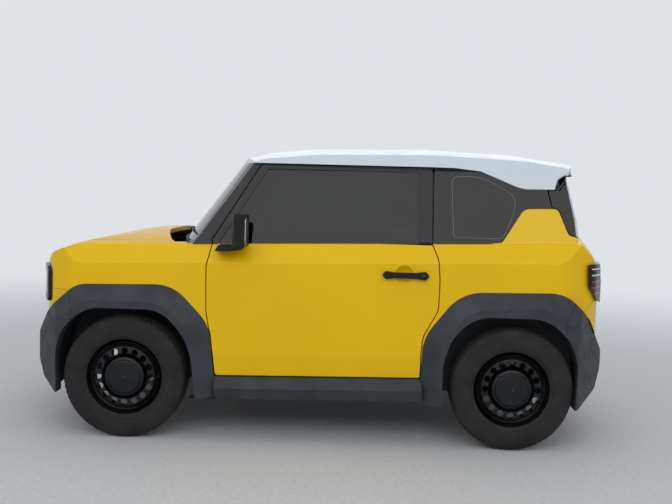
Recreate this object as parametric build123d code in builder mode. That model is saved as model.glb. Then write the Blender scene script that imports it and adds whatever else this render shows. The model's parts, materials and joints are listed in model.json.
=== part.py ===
from build123d import *
import math
import os

os.makedirs("parts", exist_ok=True)

# A two-door electric microcar, in millimetres
# +X points to the rear of the car, +Y to its right-hand side, +Z up; the ground is z = 0

# Overall size and stance
length = 3190.0
width = 1679.0
height = 1622.0
front_axle_x = -1050.0
rear_axle_x = 1025.0
nose_x = -length / 2
tail_x = length / 2
half_width = width / 2

# Tyres and rims
tyre_radius = 331.0
tyre_width = 175.0
tyre_outer_y = 815.0
tyre_mid_y = tyre_outer_y - tyre_width / 2
bead_radius = 203.0
rim_lip_radius = 219.0
cap_radius = 110.0
hub_bore_radius = 24.3
spindle_radius = 24.0
wheel_hole_count = 16
wheel_hole_radius = 17.5
wheel_hole_ring = 141.0

# Clearances
door_gap = 6.0
seam_gap = 2.0
running_gap = 0.3

# Wall thicknesses
panel_t = 26.0
frame_t = 42.0
door_t = 72.0
door_frame_t = 34.0
glass_t = 6.0

# Crowns and sweeps of the body surfaces
line_rise = 0.029
roof_crown = 3500.0
screen_sweep_x = 1250.0
hatch_sweep_x = -570.0
tail_sweep_x = -830.0
crown_angle = 16.0

# Lower body outline in side view on the centre line: x, z, corner radius
lower_side = [
    (-1556, 200, 0),
    (-1575, 560, 200),
    (-1574, 872, 80),
    (-1540, 928, 80),
    (-1454, 990, 200),
    (-1280, 1054, 500),
    (-1060, 1092, 500),
    (-860, 1107, 100),
    (-700, 1160, 0),
    (1600, 1160, 0),
    (1600, 200, 0),
]

# Rear of the lower body on the centre line: x, z
lower_rear_line = [
    (1572, 200),
    (1582, 640),
    (1581, 900),
    (1574, 1000),
    (1549, 1050),
    (1475, 1141),
    (1430, 1165),
]

# Lower body section, right half at x = 0: y, z, corner radius
lower_section = [
    (0, 180, 0),
    (762, 180, 0),
    (776, 372, 20),
    (786, 478, 30),
    (790, 975, 14),
    (746, 1074, 26),
    (560, 1108, 150),
    (0, 1150, 0),
]

# Lower body outline in plan, right half: x, y, corner radius
lower_plan = [
    (-1575, 0, 0),
    (-1575, 455, 250),
    (-1478, 702, 110),
    (-1340, 790, 200),
    (1290, 790, 200),
    (1446, 708, 110),
    (1588, 458, 220),
    (1588, 0, 0),
]

# Cabin section, right half at x = 0: y, z, corner radius
cabin_section = [
    (0, 800, 0),
    (812, 800, 0),
    (636, 1490, 160),
    (560, 1662, 0),
    (0, 1662, 0),
]

# Roof line in side view on the centre line: x, z, corner radius
roof_line = [
    (-1300, 800, 0),
    (-1300, 1064, 0),
    (-478, 1541, 70),
    (-330, 1580, 300),
    (-60, 1607, 900),
    (600, 1623.0, 1500),
    (1080, 1606, 900),
    (1430, 1560, 0),
    (1700, 1500, 0),
    (1700, 800, 0),
]

# Windscreen and rear window lines on the centre line: x, z
screen_line = [(-1046, 800), (-806, 1100), (-500, 1517), (-440, 1594), (-390, 1660)]
hatch_line = [(1530, 800), (1480, 1141), (1462, 1240), (1398, 1466), (1340, 1660)]
spoiler_line = [
    (1348, 800),
    (1348, 1400),
    (1360, 1458),
    (1404, 1492),
    (1418, 1508),
    (1420, 1536),
    (1408, 1574),
    (1380, 1660),
]

# Front wheel arch: outer edge, crease and inner edge of the flare in side view: x, z, corner radius
front_flare_outer = [
    (-560, 232, 0),
    (-572, 357, 0),
    (-604, 628, 220),
    (-800, 836, 220),
    (-1318, 823, 150),
    (-1500, 655, 150),
    (-1600, 500, 0),
    (-1700, 420, 0),
    (-1700, 232, 0),
]
front_flare_crease = [
    (-664, 232, 0),
    (-668, 400, 0),
    (-698, 590, 180),
    (-840, 742, 200),
    (-1290, 742, 160),
    (-1404, 620, 140),
    (-1430, 500, 0),
    (-1436, 400, 0),
    (-1436, 232, 0),
]
front_arch = [
    (-655, 150, 0),
    (-666, 285, 0),
    (-692, 470, 300),
    (-730, 566, 300),
    (-850, 704, 200),
    (-1248, 704, 200),
    (-1372, 600, 250),
    (-1418, 470, 250),
    (-1412, 285, 0),
    (-1412, 150, 0),
]

# Rear wheel arch, in the same way
rear_flare_outer = [
    (556, 232, 0),
    (538, 380, 0),
    (544, 592, 240),
    (736, 843, 240),
    (1290, 856, 200),
    (1450, 706, 200),
    (1600, 476, 0),
    (1700, 420, 0),
    (1700, 232, 0),
]
rear_flare_crease = [
    (640, 232, 0),
    (640, 380, 0),
    (650, 580, 200),
    (780, 752, 200),
    (1200, 778, 220),
    (1360, 660, 200),
    (1440, 480, 0),
    (1444, 400, 0),
    (1444, 232, 0),
]
rear_arch = [
    (654, 150, 0),
    (650, 285, 0),
    (650, 470, 250),
    (694, 600, 250),
    (804, 720, 220),
    (1196, 720, 220),
    (1320, 606, 250),
    (1372, 470, 250),
    (1364, 285, 0),
    (1364, 150, 0),
]

# Cladding and bumper envelope in plan, right half, and in side view: first and second size, corner radius
cladding_plan = [
    (nose_x, 0, 0),
    (nose_x, 556, 150),
    (-1402, half_width, 90),
    (1356, half_width, 90),
    (tail_x, 440, 200),
    (tail_x, 0, 0),
]
cladding_side = [
    (-1530, 290, 30),
    (nose_x, 402, 60),
    (nose_x, 1000, 0),
    (tail_x, 1000, 0),
    (tail_x, 440, 60),
    (1536, 300, 30),
    (1380, 232, 0),
    (-1400, 232, 0),
]

# Door outline in side view: x, z, corner radius
door_lower = [
    (-566, 353, 14),
    (-578, 470, 60),
    (-617, 700, 200),
    (-621, 940, 60),
    (-594, 1066, 0),
    (-594, 1200, 0),
    (572, 1200, 0),
    (572, 1100, 0),
    (609, 1010, 60),
    (619, 900, 200),
    (617, 742, 80),
    (541, 600, 90),
    (532, 500, 60),
    (536, 375, 14),
]
door_upper = [
    (-598, 1000, 0),
    (-598, 1082, 0),
    (-352, 1492, 24),
    (572, 1498, 16),
    (576, 1000, 0),
]
door_glass = [
    (-566, 1000, 0),
    (-566, 1062, 0),
    (-318, 1468, 26),
    (502, 1476, 22),
    (506, 1000, 0),
]
belt_front_z = 1056.0
belt_rear_z = 1093.0

# White roof with its wrap over the rear pillar, in side view: x, z, corner radius
roof_region = [
    (-760, 1510, 0),
    (-430, 1499, 0),
    (580, 1505, 0),
    (700, 1504, 60),
    (836, 1490, 60),
    (1030, 1412, 60),
    (1076, 1401, 40),
    (1246, 1404, 16),
    (1322, 1492, 20),
    (1450, 1508, 0),
    (1450, 1700, 0),
    (-760, 1700, 0),
]

# Yellow rise of the quarter panel behind the side window, in side view: x, z, corner radius
quarter_rise = [
    (890, 1050, 0),
    (900, 1106, 0),
    (952, 1110, 30),
    (1070, 1294, 60),
    (1254, 1300, 34),
    (1309, 1160, 26),
    (1366, 1146, 0),
    (1500, 1146, 0),
    (1500, 1050, 0),
]

# Tailgate in side view: x, z, corner radius
hatch_upper = [
    (1202, 1396, 0),
    (1220, 1308, 0),
    (1256, 1300, 40),
    (1310, 1168, 26),
    (1362, 1152, 0),
    (1600, 1152, 0),
    (1600, 1480, 0),
    (1326, 1480, 0),
    (1262, 1398, 16),
]
hatch_half_width = 500.0
hatch_bottom_z = 722.0

# Hinge axes: a pin on the body turns in a bore of the panel
hinge_pin_r = 5.0
door_hinge_x = -556.0
door_hinge_y = 772.0
door_hinge_heights = (560.0, 880.0)
door_pocket_r = 97.0
bonnet_hinge_x = -860.0
bonnet_hinge_y = 540.0
bonnet_hinge_z = 1030.0
hatch_hinge_x = 1398.0
hatch_hinge_y = 300.0
hatch_hinge_z = 1487.0
hatch_pin_r = 3.0
flap_hinge_x = -867.0
flap_hinge_y = 786.0
flap_pin_r = 2.5


def side_prism(rows, y_from, y_to, grow=0.0):
    with BuildPart() as prism:
        with BuildSketch(Plane.XZ.offset(-y_to)):
            with BuildLine():
                FilletPolyline(
                    *[(x, z) for x, z, r in rows],
                    radius=[r for x, z, r in rows],
                    close=True,
                )
            make_face()
            if grow:
                offset(amount=grow, kind=Kind.INTERSECTION, mode=Mode.REPLACE)
        extrude(amount=y_to - y_from)
    return prism.part


def front_prism(rows, x_from, x_to, rise=0.0, grow=0.0):
    with BuildPart() as prism:
        with BuildSketch(Plane.YZ.offset(x_from)):
            with BuildLine():
                FilletPolyline(
                    *[(y, z + rise * x_from) for y, z, r in rows],
                    radius=[r for y, z, r in rows],
                    close=True,
                )
            make_face()
            if grow:
                offset(amount=grow, kind=Kind.INTERSECTION, mode=Mode.REPLACE)
        extrude(amount=(x_to - x_from) * math.hypot(1, rise), dir=(1, 0, rise))
    return prism.part


def plan_prism(rows, z_from, z_to):
    with BuildPart() as prism:
        with BuildSketch(Plane.XY.offset(z_from)):
            with BuildLine():
                FilletPolyline(
                    *[(x, y) for x, y, r in rows],
                    radius=[r for x, y, r in rows],
                    close=True,
                )
            make_face()
        extrude(amount=z_to - z_from)
    return prism.part


def mirrored_rows(rows):
    back = [(-a, b, r) for a, b, r in reversed(rows) if a != 0]
    return rows + back


def mirrored_plan(rows):
    back = [(x, -y, r) for x, y, r in reversed(rows) if y != 0]
    return [row for row in rows if row[1] != 0] + back


def block(x_from, x_to, y_from, y_to, z_from, z_to):
    with BuildPart() as piece:
        with Locations(((x_from + x_to) / 2, (y_from + y_to) / 2, (z_from + z_to) / 2)):
            Box(x_to - x_from, y_to - y_from, z_to - z_from)
    return piece.part


# Volume under the roof line, swept about a fore-and-aft line far below to crown it
def crowned_volume(inset):
    axis_z = height - roof_crown
    lean = math.radians(crown_angle)
    start = Plane(
        origin=(0, 0, axis_z),
        x_dir=(1, 0, 0),
        z_dir=(0, -math.cos(lean), math.sin(lean)),
    )
    with BuildPart() as volume:
        with BuildSketch(start):
            with BuildLine():
                FilletPolyline(
                    *[(x, z - axis_z) for x, z, r in roof_line],
                    radius=[r for x, z, r in roof_line],
                    close=True,
                )
            make_face()
            if inset:
                offset(amount=-inset, kind=Kind.INTERSECTION, mode=Mode.REPLACE)
        revolve(axis=Axis((0, 0, axis_z), (1, 0, 0)), revolution_arc=2 * crown_angle)
    return volume.part


# Volume behind the windscreen line, or ahead of the rear window line, bowed in plan about an upright line
def bowed_volume(line, centre_x, inset):
    with BuildPart() as volume:
        with BuildSketch(Plane.XZ):
            with BuildLine():
                Polyline(
                    *[(abs(x - centre_x) - inset, z) for x, z in line],
                    (0, line[-1][1]),
                    (0, line[0][1]),
                    close=True,
                )
            make_face()
        revolve(axis=Axis.Z, revolution_arc=360)
    return Pos(centre_x, 0, 0) * volume.part


# Outer volume of the lower body, drawn in by the inset
def lower_volume(inset):
    with BuildPart() as volume:
        with BuildSketch(Plane.YZ.offset(-1700)):
            with BuildLine():
                rows = mirrored_rows(lower_section)
                FilletPolyline(
                    *[(y, z - line_rise * 1700) for y, z, r in rows],
                    radius=[r for y, z, r in rows],
                    close=True,
                )
            make_face()
            if inset:
                offset(amount=-inset, kind=Kind.INTERSECTION, mode=Mode.REPLACE)
        extrude(amount=3400 * math.hypot(1, line_rise), dir=(1, 0, line_rise))
        with BuildSketch(Plane.XZ):
            with BuildLine():
                FilletPolyline(
                    *[(x, z) for x, z, r in lower_side],
                    radius=[r for x, z, r in lower_side],
                    close=True,
                )
            make_face()
            if inset:
                offset(amount=-inset, kind=Kind.INTERSECTION, mode=Mode.REPLACE)
        extrude(amount=900, both=True, mode=Mode.INTERSECT)
        with BuildSketch(Plane.XY.offset(100)):
            with BuildLine():
                rows = mirrored_plan(lower_plan)
                FilletPolyline(
                    *[(x, y) for x, y, r in rows],
                    radius=[r for x, y, r in rows],
                    close=True,
                )
            make_face()
            if inset:
                offset(amount=-inset, kind=Kind.INTERSECTION, mode=Mode.REPLACE)
        extrude(amount=1200, mode=Mode.INTERSECT)
        add(bowed_volume(lower_rear_line, tail_sweep_x, inset), mode=Mode.INTERSECT)
    return volume.part


# Outer volume of the cabin above the belt, drawn in by the inset
def cabin_volume(inset, rear_line):
    with BuildPart() as volume:
        with BuildSketch(Plane.YZ.offset(-1200)):
            with BuildLine():
                rows = mirrored_rows(cabin_section)
                FilletPolyline(
                    *[(y, z) for y, z, r in rows],
                    radius=[r for y, z, r in rows],
                    close=True,
                )
            make_face()
            if inset:
                offset(amount=-inset, kind=Kind.INTERSECTION, mode=Mode.REPLACE)
        extrude(amount=2900)
        add(crowned_volume(inset), mode=Mode.INTERSECT)
        add(bowed_volume(screen_line, screen_sweep_x, inset), mode=Mode.INTERSECT)
        add(bowed_volume(rear_line, hatch_sweep_x, inset), mode=Mode.INTERSECT)
    return volume.part


# Part of a body shell that lies inside every region and outside every cut
def panel(outer, inner, regions, cuts):
    with BuildPart() as piece:
        add(outer)
        add(inner, mode=Mode.SUBTRACT)
        for region in regions:
            add(region, mode=Mode.INTERSECT)
        for region in cuts:
            add(region, mode=Mode.SUBTRACT)
    return piece.part


# Upright ring or disc round the sweep centre of the windscreen
def screen_disc(radius_from, radius_to, z_from, z_to):
    with BuildPart() as disc:
        with BuildSketch(Plane.XY.offset(z_from)):
            with Locations((screen_sweep_x, 0)):
                Circle(radius_to)
                if radius_from:
                    Circle(radius_from, mode=Mode.SUBTRACT)
        extrude(amount=z_to - z_from)
    return disc.part


# Round bar between two points, hollow if an inner radius is given
def bar(start, end, radius, inner=0.0):
    axis = Plane(origin=start, z_dir=(end[0] - start[0], end[1] - start[1], end[2] - start[2]))
    span = math.dist(start, end)
    with BuildPart() as piece:
        with BuildSketch(axis):
            Circle(radius)
            if inner:
                Circle(inner, mode=Mode.SUBTRACT)
        extrude(amount=span)
    return piece.part


def joined(*shapes):
    with BuildPart() as piece:
        for shape in shapes:
            add(shape)
    return piece.part


def both_sides(shape):
    with BuildPart() as pair:
        add(shape)
        add(mirror(shape, about=Plane.XZ, mode=Mode.PRIVATE))
    return pair.part


def save(name, shape):
    shape.label = name
    export_step(shape, "parts/" + name + ".step")


wide = 900.0
floor_z = 350.0

# Body volumes, each drawn in by its own depth
lower_0 = lower_volume(0)
lower_panel = lower_volume(panel_t)
lower_door = lower_volume(door_t)
lower_seal = lower_volume(door_t + door_gap)
lower_ring = lower_volume(door_t + 60)
cabin_0 = cabin_volume(0, hatch_line)
cabin_glass = cabin_volume(glass_t, hatch_line)
cabin_pane = cabin_volume(2 * glass_t, hatch_line)
cabin_door = cabin_volume(door_frame_t, hatch_line)
cabin_frame = cabin_volume(frame_t, hatch_line)
cabin_ring = cabin_volume(frame_t + 36, hatch_line)
roof_0 = cabin_volume(0, spoiler_line)

# Side-view regions
door_lower_region = side_prism(door_lower, -wide, wide)
door_lower_clear = side_prism(door_lower, -wide, wide, door_gap)
door_upper_region = side_prism(door_upper, -wide, wide)
door_upper_clear = side_prism(door_upper, -wide, wide, door_gap)
door_glass_region = side_prism(door_glass, -wide, wide)
above_belt = side_prism(
    [(-1700, belt_front_z - 32, 0), (1700, belt_rear_z + 35, 0), (1700, 1800, 0), (-1700, 1800, 0)],
    -wide,
    wide,
)
roof_prism = side_prism(roof_region, -wide, wide)
rise_prism = side_prism(quarter_rise, -wide, wide)
hatch_prism = side_prism(hatch_upper, -wide, wide)
hatch_clear = side_prism(hatch_upper, -wide, wide, door_gap)
front_flare_prism = side_prism(front_flare_outer, -wide, wide)
rear_flare_prism = side_prism(rear_flare_outer, -wide, wide)

# Windscreen, and the pillars and rails that hold it
screen_prism = side_prism(
    [(-1300, 1070, 0), (-704, 1070, 0), (-430, 1499, 0), (-760, 1510, 0), (-1300, 1510, 0)],
    -wide,
    wide,
)
quarter_pane = [
    (678, 1128, 20),
    (674, 1456, 20),
    (822, 1458, 60),
    (1018, 1366, 40),
    (972, 1218, 80),
    (944, 1134, 14),
]
cabin_front = block(-740, 578, -wide, wide, 1000, 1700)
cabin_back = block(578 + door_gap, 1500, -wide, wide, 1000, 1700)
windscreen = panel(cabin_0, cabin_glass, [screen_prism], [roof_prism])
save("windscreen", windscreen)

quarter_windows = panel(
    cabin_0,
    cabin_glass,
    [above_belt, cabin_back],
    [roof_prism, rise_prism, hatch_clear, block(1180, 1600, -560, 560, 1000, 1700)],
)
quarter_windows = joined(*quarter_windows.solids().sort_by(SortBy.VOLUME)[-2:])
save("quarter_windows", quarter_windows)

quarter_opening = side_prism(quarter_pane, -wide, wide)
door_pocket = both_sides(
    bar(
        (door_hinge_x, door_hinge_y, floor_z),
        (door_hinge_x, door_hinge_y, 1170),
        door_pocket_r,
    )
)
with BuildPart() as pillar_frame:
    add(
        panel(
            cabin_0,
            cabin_frame,
            [above_belt, cabin_front],
            [screen_prism, roof_prism, door_upper_clear],
        )
    )
    add(
        panel(
            cabin_glass,
            cabin_frame,
            [above_belt, cabin_back],
            [
                roof_prism,
                rise_prism,
                hatch_clear,
                door_upper_clear,
                quarter_opening,
                block(1316, 1600, -400, 400, 1440, 1700),
            ],
        )
    )
    add(
        panel(
            cabin_frame,
            cabin_ring,
            [above_belt, block(-740, 1330, -wide, wide, 1000, 1700)],
            [
                screen_prism,
                hatch_clear,
                side_prism(door_glass, -wide, wide, 14),
                quarter_opening,
                door_pocket,
            ],
        )
    )
save("pillar_frame", pillar_frame.part)

hatch_barrel_r = 6.0
with BuildPart() as hatch_lug:
    add(
        block(
            hatch_hinge_x - 5,
            hatch_hinge_x + 5,
            hatch_hinge_y - 8,
            hatch_hinge_y + 8,
            hatch_hinge_z,
            hatch_hinge_z + 22,
        )
    )
    add(
        bar(
            (hatch_hinge_x, hatch_hinge_y - 8, hatch_hinge_z),
            (hatch_hinge_x, hatch_hinge_y + 8, hatch_hinge_z),
            hatch_barrel_r,
        )
    )
    add(
        bar(
            (hatch_hinge_x, hatch_hinge_y - 22, hatch_hinge_z),
            (hatch_hinge_x, hatch_hinge_y + 22, hatch_hinge_z),
            hatch_pin_r,
        )
    )
roof = joined(panel(roof_0, cabin_frame, [roof_prism], []), both_sides(hatch_lug.part))
save("roof", roof)

# Bonnet, nose and lamps
bonnet_half_width = 660.0
bonnet_edge_radius = 2183.0
bonnet_front_z = 912.0
bonnet_region = block(-1600, -700, -bonnet_half_width, bonnet_half_width, bonnet_front_z, 1200)
hinge_bore_r = hinge_pin_r + running_gap
bonnet_barrel_r = 9.0
with BuildPart() as bonnet_arm:
    add(
        block(
            bonnet_hinge_x - 34,
            bonnet_hinge_x - 14,
            bonnet_hinge_y - 9,
            bonnet_hinge_y + 9,
            bonnet_hinge_z - 8,
            bonnet_hinge_z + 36,
        )
    )
    add(
        block(
            bonnet_hinge_x - 34,
            bonnet_hinge_x,
            bonnet_hinge_y - 9,
            bonnet_hinge_y + 9,
            bonnet_hinge_z - 8,
            bonnet_hinge_z + 8,
        )
    )
    add(
        bar(
            (bonnet_hinge_x, bonnet_hinge_y - 9, bonnet_hinge_z),
            (bonnet_hinge_x, bonnet_hinge_y + 9, bonnet_hinge_z),
            bonnet_barrel_r,
        )
    )
    add(
        bar(
            (bonnet_hinge_x, bonnet_hinge_y - 20, bonnet_hinge_z),
            (bonnet_hinge_x, bonnet_hinge_y + 20, bonnet_hinge_z),
            hinge_bore_r,
        ),
        mode=Mode.SUBTRACT,
    )
bonnet = joined(
    panel(lower_0, lower_panel, [bonnet_region, screen_disc(bonnet_edge_radius, 2900, 800, 1300)], []),
    both_sides(bonnet_arm.part),
)
save("bonnet", bonnet)

lamp_proud = 18.0
lamp_outer = lower_volume(-lamp_proud)
lamp_panel_rows = [(-702, 712, 30), (702, 712, 30), (702, 906, 30), (-702, 906, 30)]
lamp_side_rows = [
    (-1400, 712, 0),
    (-1566, 712, 0),
    (-1592, 752, 60),
    (-1592, 858, 60),
    (-1566, 906, 0),
    (-1400, 906, 0),
]
lamp_panel_region = front_prism(lamp_panel_rows, -1700, -1440)
headlamp_rows = [(392, 742, 40), (628, 742, 40), (628, 866, 40), (392, 866, 40)]
headlamp_region = both_sides(front_prism(headlamp_rows, -1700, -1440))
lamp_side_region = side_prism(lamp_side_rows, -wide, wide)
lamp_panel = panel(
    lamp_outer, lower_panel, [lamp_panel_region, lamp_side_region], [headlamp_region, front_flare_prism]
)
save("lamp_panel", lamp_panel)
headlamps = panel(lamp_outer, lower_panel, [headlamp_region, lamp_side_region], [])
save("headlamps", headlamps)

bonnet_clear = panel(
    lower_volume(-40),
    block(-10, 10, -10, 10, 0, 10),
    [
        block(-1700, -700, -bonnet_half_width - door_gap, bonnet_half_width + door_gap, 904.5, 1300),
        screen_disc(bonnet_edge_radius - door_gap, 3000, 800, 1300),
    ],
    [],
)
front_bumper_rows = [(-1700, 500, 0), (-1700, 788, 0), (-1376, 784, 0), (-1376, 500, 0)]
front_bumper_region = side_prism(front_bumper_rows, -wide, wide)
front_bumper = panel(lower_0, lower_panel, [front_bumper_region], [front_flare_prism, lamp_panel_region])

fender_front = block(-1700, -580, -wide, wide, 360, 1300)
flap_rows = [(-872, 868, 12), (-744, 868, 12), (-744, 948, 12), (-872, 948, 12)]
front_fenders = panel(
    lower_0,
    lower_panel,
    [fender_front],
    [
        front_flare_prism,
        lamp_panel_region,
        side_prism(front_bumper_rows, -wide, wide, seam_gap),
        bonnet_clear,
        door_lower_clear,
        above_belt & block(-740, -500, -wide, wide, 1000, 1700),
        block(-740, -500, -700, 700, 900, 1300),
        side_prism(flap_rows, 600, wide, door_gap),
        screen_disc(0, bonnet_edge_radius - door_gap, 900, 1300) & block(-1200, -740, -700, 700, 900, 1300),
    ],
)
flap_pins = joined(
    bar((flap_hinge_x, flap_hinge_y, 858), (flap_hinge_x, flap_hinge_y, 880), flap_pin_r),
    bar((flap_hinge_x, flap_hinge_y, 936), (flap_hinge_x, flap_hinge_y, 958), flap_pin_r),
)
front_fenders = joined(*front_fenders.solids().sort_by(SortBy.VOLUME)[-2:], flap_pins)
save("front_fenders", front_fenders)

# Charge flap and the socket behind it, in the right-hand fender
with BuildPart() as flap:
    add(side_prism(flap_rows, 779, 800))
    add(lower_0, mode=Mode.INTERSECT)
    for z_from, z_to in ((860, 881), (935, 956)):
        add(
            bar(
                (flap_hinge_x, flap_hinge_y, z_from),
                (flap_hinge_x, flap_hinge_y, z_to),
                flap_pin_r + running_gap,
            ),
            mode=Mode.SUBTRACT,
        )
charge_flap = flap.part
save("charge_flap", charge_flap)
with BuildPart() as charge_inlet:
    add(side_prism(flap_rows, 706, wide, 16))
    add(side_prism(flap_rows, 714, wide, door_gap), mode=Mode.SUBTRACT)
    add(bar((-808, 710, 908), (-808, 742, 908), 34))
    add(bar((-808, 722, 908), (-808, 752, 908), 26), mode=Mode.SUBTRACT)
    add(lower_panel, mode=Mode.INTERSECT)
save("charge_inlet", charge_inlet.part)

# Recessed cowl tray between the bonnet and the windscreen
cowl_inner_r = 2034.0
cowl_outer_r = 2252.0
with BuildPart() as cowl:
    with BuildSketch(Plane.XZ):
        with BuildLine():
            Polyline(
                (cowl_inner_r, 985),
                (cowl_outer_r, 985),
                (cowl_outer_r, 998),
                (cowl_inner_r + 66, 998),
                (cowl_inner_r + 56, 1070),
                (cowl_inner_r, 1070),
                close=True,
            )
        make_face()
    revolve(axis=Axis.Z, revolution_arc=360)
cowl_panel = Pos(screen_sweep_x, 0, 0) * cowl.part
with BuildPart() as cowl:
    add(cowl_panel)
    add(block(-1200, -713, -640, 640, 900, 1200), mode=Mode.INTERSECT)
    add(block(-742, -700, -700, 700, 1052, 1200), mode=Mode.SUBTRACT)
    add(lower_panel, mode=Mode.INTERSECT)
    for side in (-1, 1):
        y_from, y_to = sorted((side * (bonnet_hinge_y + 16), side * (bonnet_hinge_y + 26)))
        add(block(bonnet_hinge_x - 12, bonnet_hinge_x + 12, y_from, y_to, 990, bonnet_hinge_z))
        add(
            bar(
                (bonnet_hinge_x, side * (bonnet_hinge_y + 16), bonnet_hinge_z),
                (bonnet_hinge_x, side * (bonnet_hinge_y + 26), bonnet_hinge_z),
                12,
            )
        )
        add(
            bar(
                (bonnet_hinge_x, side * (bonnet_hinge_y - 12), bonnet_hinge_z),
                (bonnet_hinge_x, side * (bonnet_hinge_y + 20), bonnet_hinge_z),
                hinge_pin_r,
            )
        )
save("cowl_panel", cowl.part)

# Quarter panels with the rise behind the side window
quarter_back = block(500, 1700, -wide, wide, 376, 1300)
tail_lamp_rows = [
    (1413, 1009, 12),
    (1700, 1016, 0),
    (1700, 798, 0),
    (1512, 798, 0),
    (1482, 822, 10),
    (1421, 886, 20),
]
tail_lamp_inner_y = 506.0
tail_lamp_region = side_prism(tail_lamp_rows, -wide, wide) - block(
    1000, 1800, -tail_lamp_inner_y, tail_lamp_inner_y, 700, 1100
)
rear_bumper_rows = [(1382, 500, 0), (1382, 734, 0), (1484, 820, 0), (1700, 820, 0), (1700, 500, 0)]
hatch_lower_clear = block(
    1200,
    1700,
    -hatch_half_width - door_gap,
    hatch_half_width + door_gap,
    hatch_bottom_z - door_gap,
    1300,
)
quarter_belt_cut = panel(above_belt, rise_prism, [block(400, 960, -wide, wide, 1000, 1700)], [])
quarter_lower_rows = [
    (400, 200, 0),
    (400, 1089, 0),
    (900, 1106, 0),
    (1300, 1144, 0),
    (1600, 1144, 0),
    (1700, 200, 0),
]
with BuildPart() as quarter_panels:
    add(
        panel(
            lower_0,
            lower_panel,
            [quarter_back, side_prism(quarter_lower_rows, -wide, wide)],
            [
                rear_flare_prism,
                tail_lamp_region,
                side_prism(rear_bumper_rows, -wide, wide, seam_gap),
                hatch_clear,
                hatch_lower_clear,
                door_lower_clear,
                cabin_frame,
                quarter_belt_cut,
                block(500, 1300, -690, 690, 1000, 1300),
            ],
        )
    )
    add(
        panel(
            cabin_0,
            cabin_frame,
            [rise_prism, block(880, 1500, -wide, wide, 1000, 1400)],
            [hatch_clear, block(1000, 1600, -620, 620, 900, 1500)],
        )
    )
quarter_panels = joined(*quarter_panels.part.solids().sort_by(SortBy.VOLUME)[-2:])
save("quarter_panels", quarter_panels)

rear_bumper = panel(
    lower_0,
    lower_panel,
    [side_prism(rear_bumper_rows, -wide, wide)],
    [rear_flare_prism, tail_lamp_region, hatch_lower_clear],
)
save("bumper_bands", joined(front_bumper, rear_bumper))

tail_lamps = panel(lower_volume(-18), lower_panel, [tail_lamp_region], [])
save("tail_lamps", tail_lamps)

# Flares, sill claddings and bumper claddings
arch_front_prism = side_prism(front_arch, -wide, wide)
arch_rear_prism = side_prism(rear_arch, -wide, wide)


def flare_loft(outer, crease):
    with BuildPart() as flare:
        for rows, y in ((outer, 788.0), (crease, half_width)):
            with BuildSketch(Plane.XZ.offset(-y)):
                with BuildLine():
                    FilletPolyline(
                        *[(x, z) for x, z, r in rows],
                        radius=[r for x, z, r in rows],
                        close=True,
                    )
                make_face()
        loft(ruled=True)
        add(side_prism(outer, 0, 788.0))
    return both_sides(flare.part)


cladding_side_prism = side_prism(cladding_side, -wide, wide)
cladding_inner = [
    (nose_x + 45, 0, 0),
    (nose_x + 45, 520, 150),
    (-1400, 742, 60),
    (1340, 742, 60),
    (tail_x - 45, 420, 150),
    (tail_x - 45, 0, 0),
]
with BuildPart() as cladding:
    add(flare_loft(front_flare_outer, front_flare_crease))
    add(flare_loft(rear_flare_outer, rear_flare_crease))
    add(plan_prism(mirrored_plan(cladding_plan), 100, 1000), mode=Mode.INTERSECT)
    add(cladding_side_prism, mode=Mode.INTERSECT)
    add(plan_prism(mirrored_plan(cladding_inner), 90, 1100), mode=Mode.SUBTRACT)
    add(arch_front_prism, mode=Mode.SUBTRACT)
    add(arch_rear_prism, mode=Mode.SUBTRACT)
front_corner = [
    (-1800, 900, 0),
    (-1372, 900, 0),
    (-1372, 830, 0),
    (-1330, 700, 0),
    (-1330, 150, 0),
    (-1800, 150, 0),
]
rear_corner = [
    (1364, 900, 0),
    (1364, 830, 0),
    (1296, 705, 0),
    (1296, 150, 0),
    (1800, 150, 0),
    (1800, 900, 0),
]
plate_z = 505.0
plate_hole_spacing = 220.0
plate_hole_r = 3.5
plate_hole_depth = 30.0
plate_holes = joined(
    *[
        bar(
            (end * (tail_x + 5), side * plate_hole_spacing / 2, plate_z),
            (end * (tail_x - plate_hole_depth), side * plate_hole_spacing / 2, plate_z),
            plate_hole_r,
        )
        for end in (-1, 1)
        for side in (-1, 1)
    ]
)
front_bumper_cladding = (cladding.part & side_prism(front_corner, -wide, wide)) - plate_holes
rear_bumper_cladding = (cladding.part & side_prism(rear_corner, -wide, wide)) - plate_holes
save("bumper_claddings", joined(front_bumper_cladding, rear_bumper_cladding))
sill_rows = [(742, 358, 0), (789, 358, 4), (832, 304, 8), (814, 240, 8), (742, 240, 0)]
sill_prism = front_prism(sill_rows, -700, 700, 0.0195)
sill_cut = joined(
    side_prism(front_flare_outer, -wide, wide, seam_gap),
    side_prism(rear_flare_outer, -wide, wide, seam_gap),
)
with BuildPart() as sills:
    add(both_sides(sill_prism))
    add(sill_cut, mode=Mode.SUBTRACT)
with BuildPart() as side_claddings:
    add(cladding.part)
    add(side_prism(front_corner, -wide, wide, seam_gap), mode=Mode.SUBTRACT)
    add(side_prism(rear_corner, -wide, wide, seam_gap), mode=Mode.SUBTRACT)
    add(sills.part)
save("side_claddings", side_claddings.part)

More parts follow.
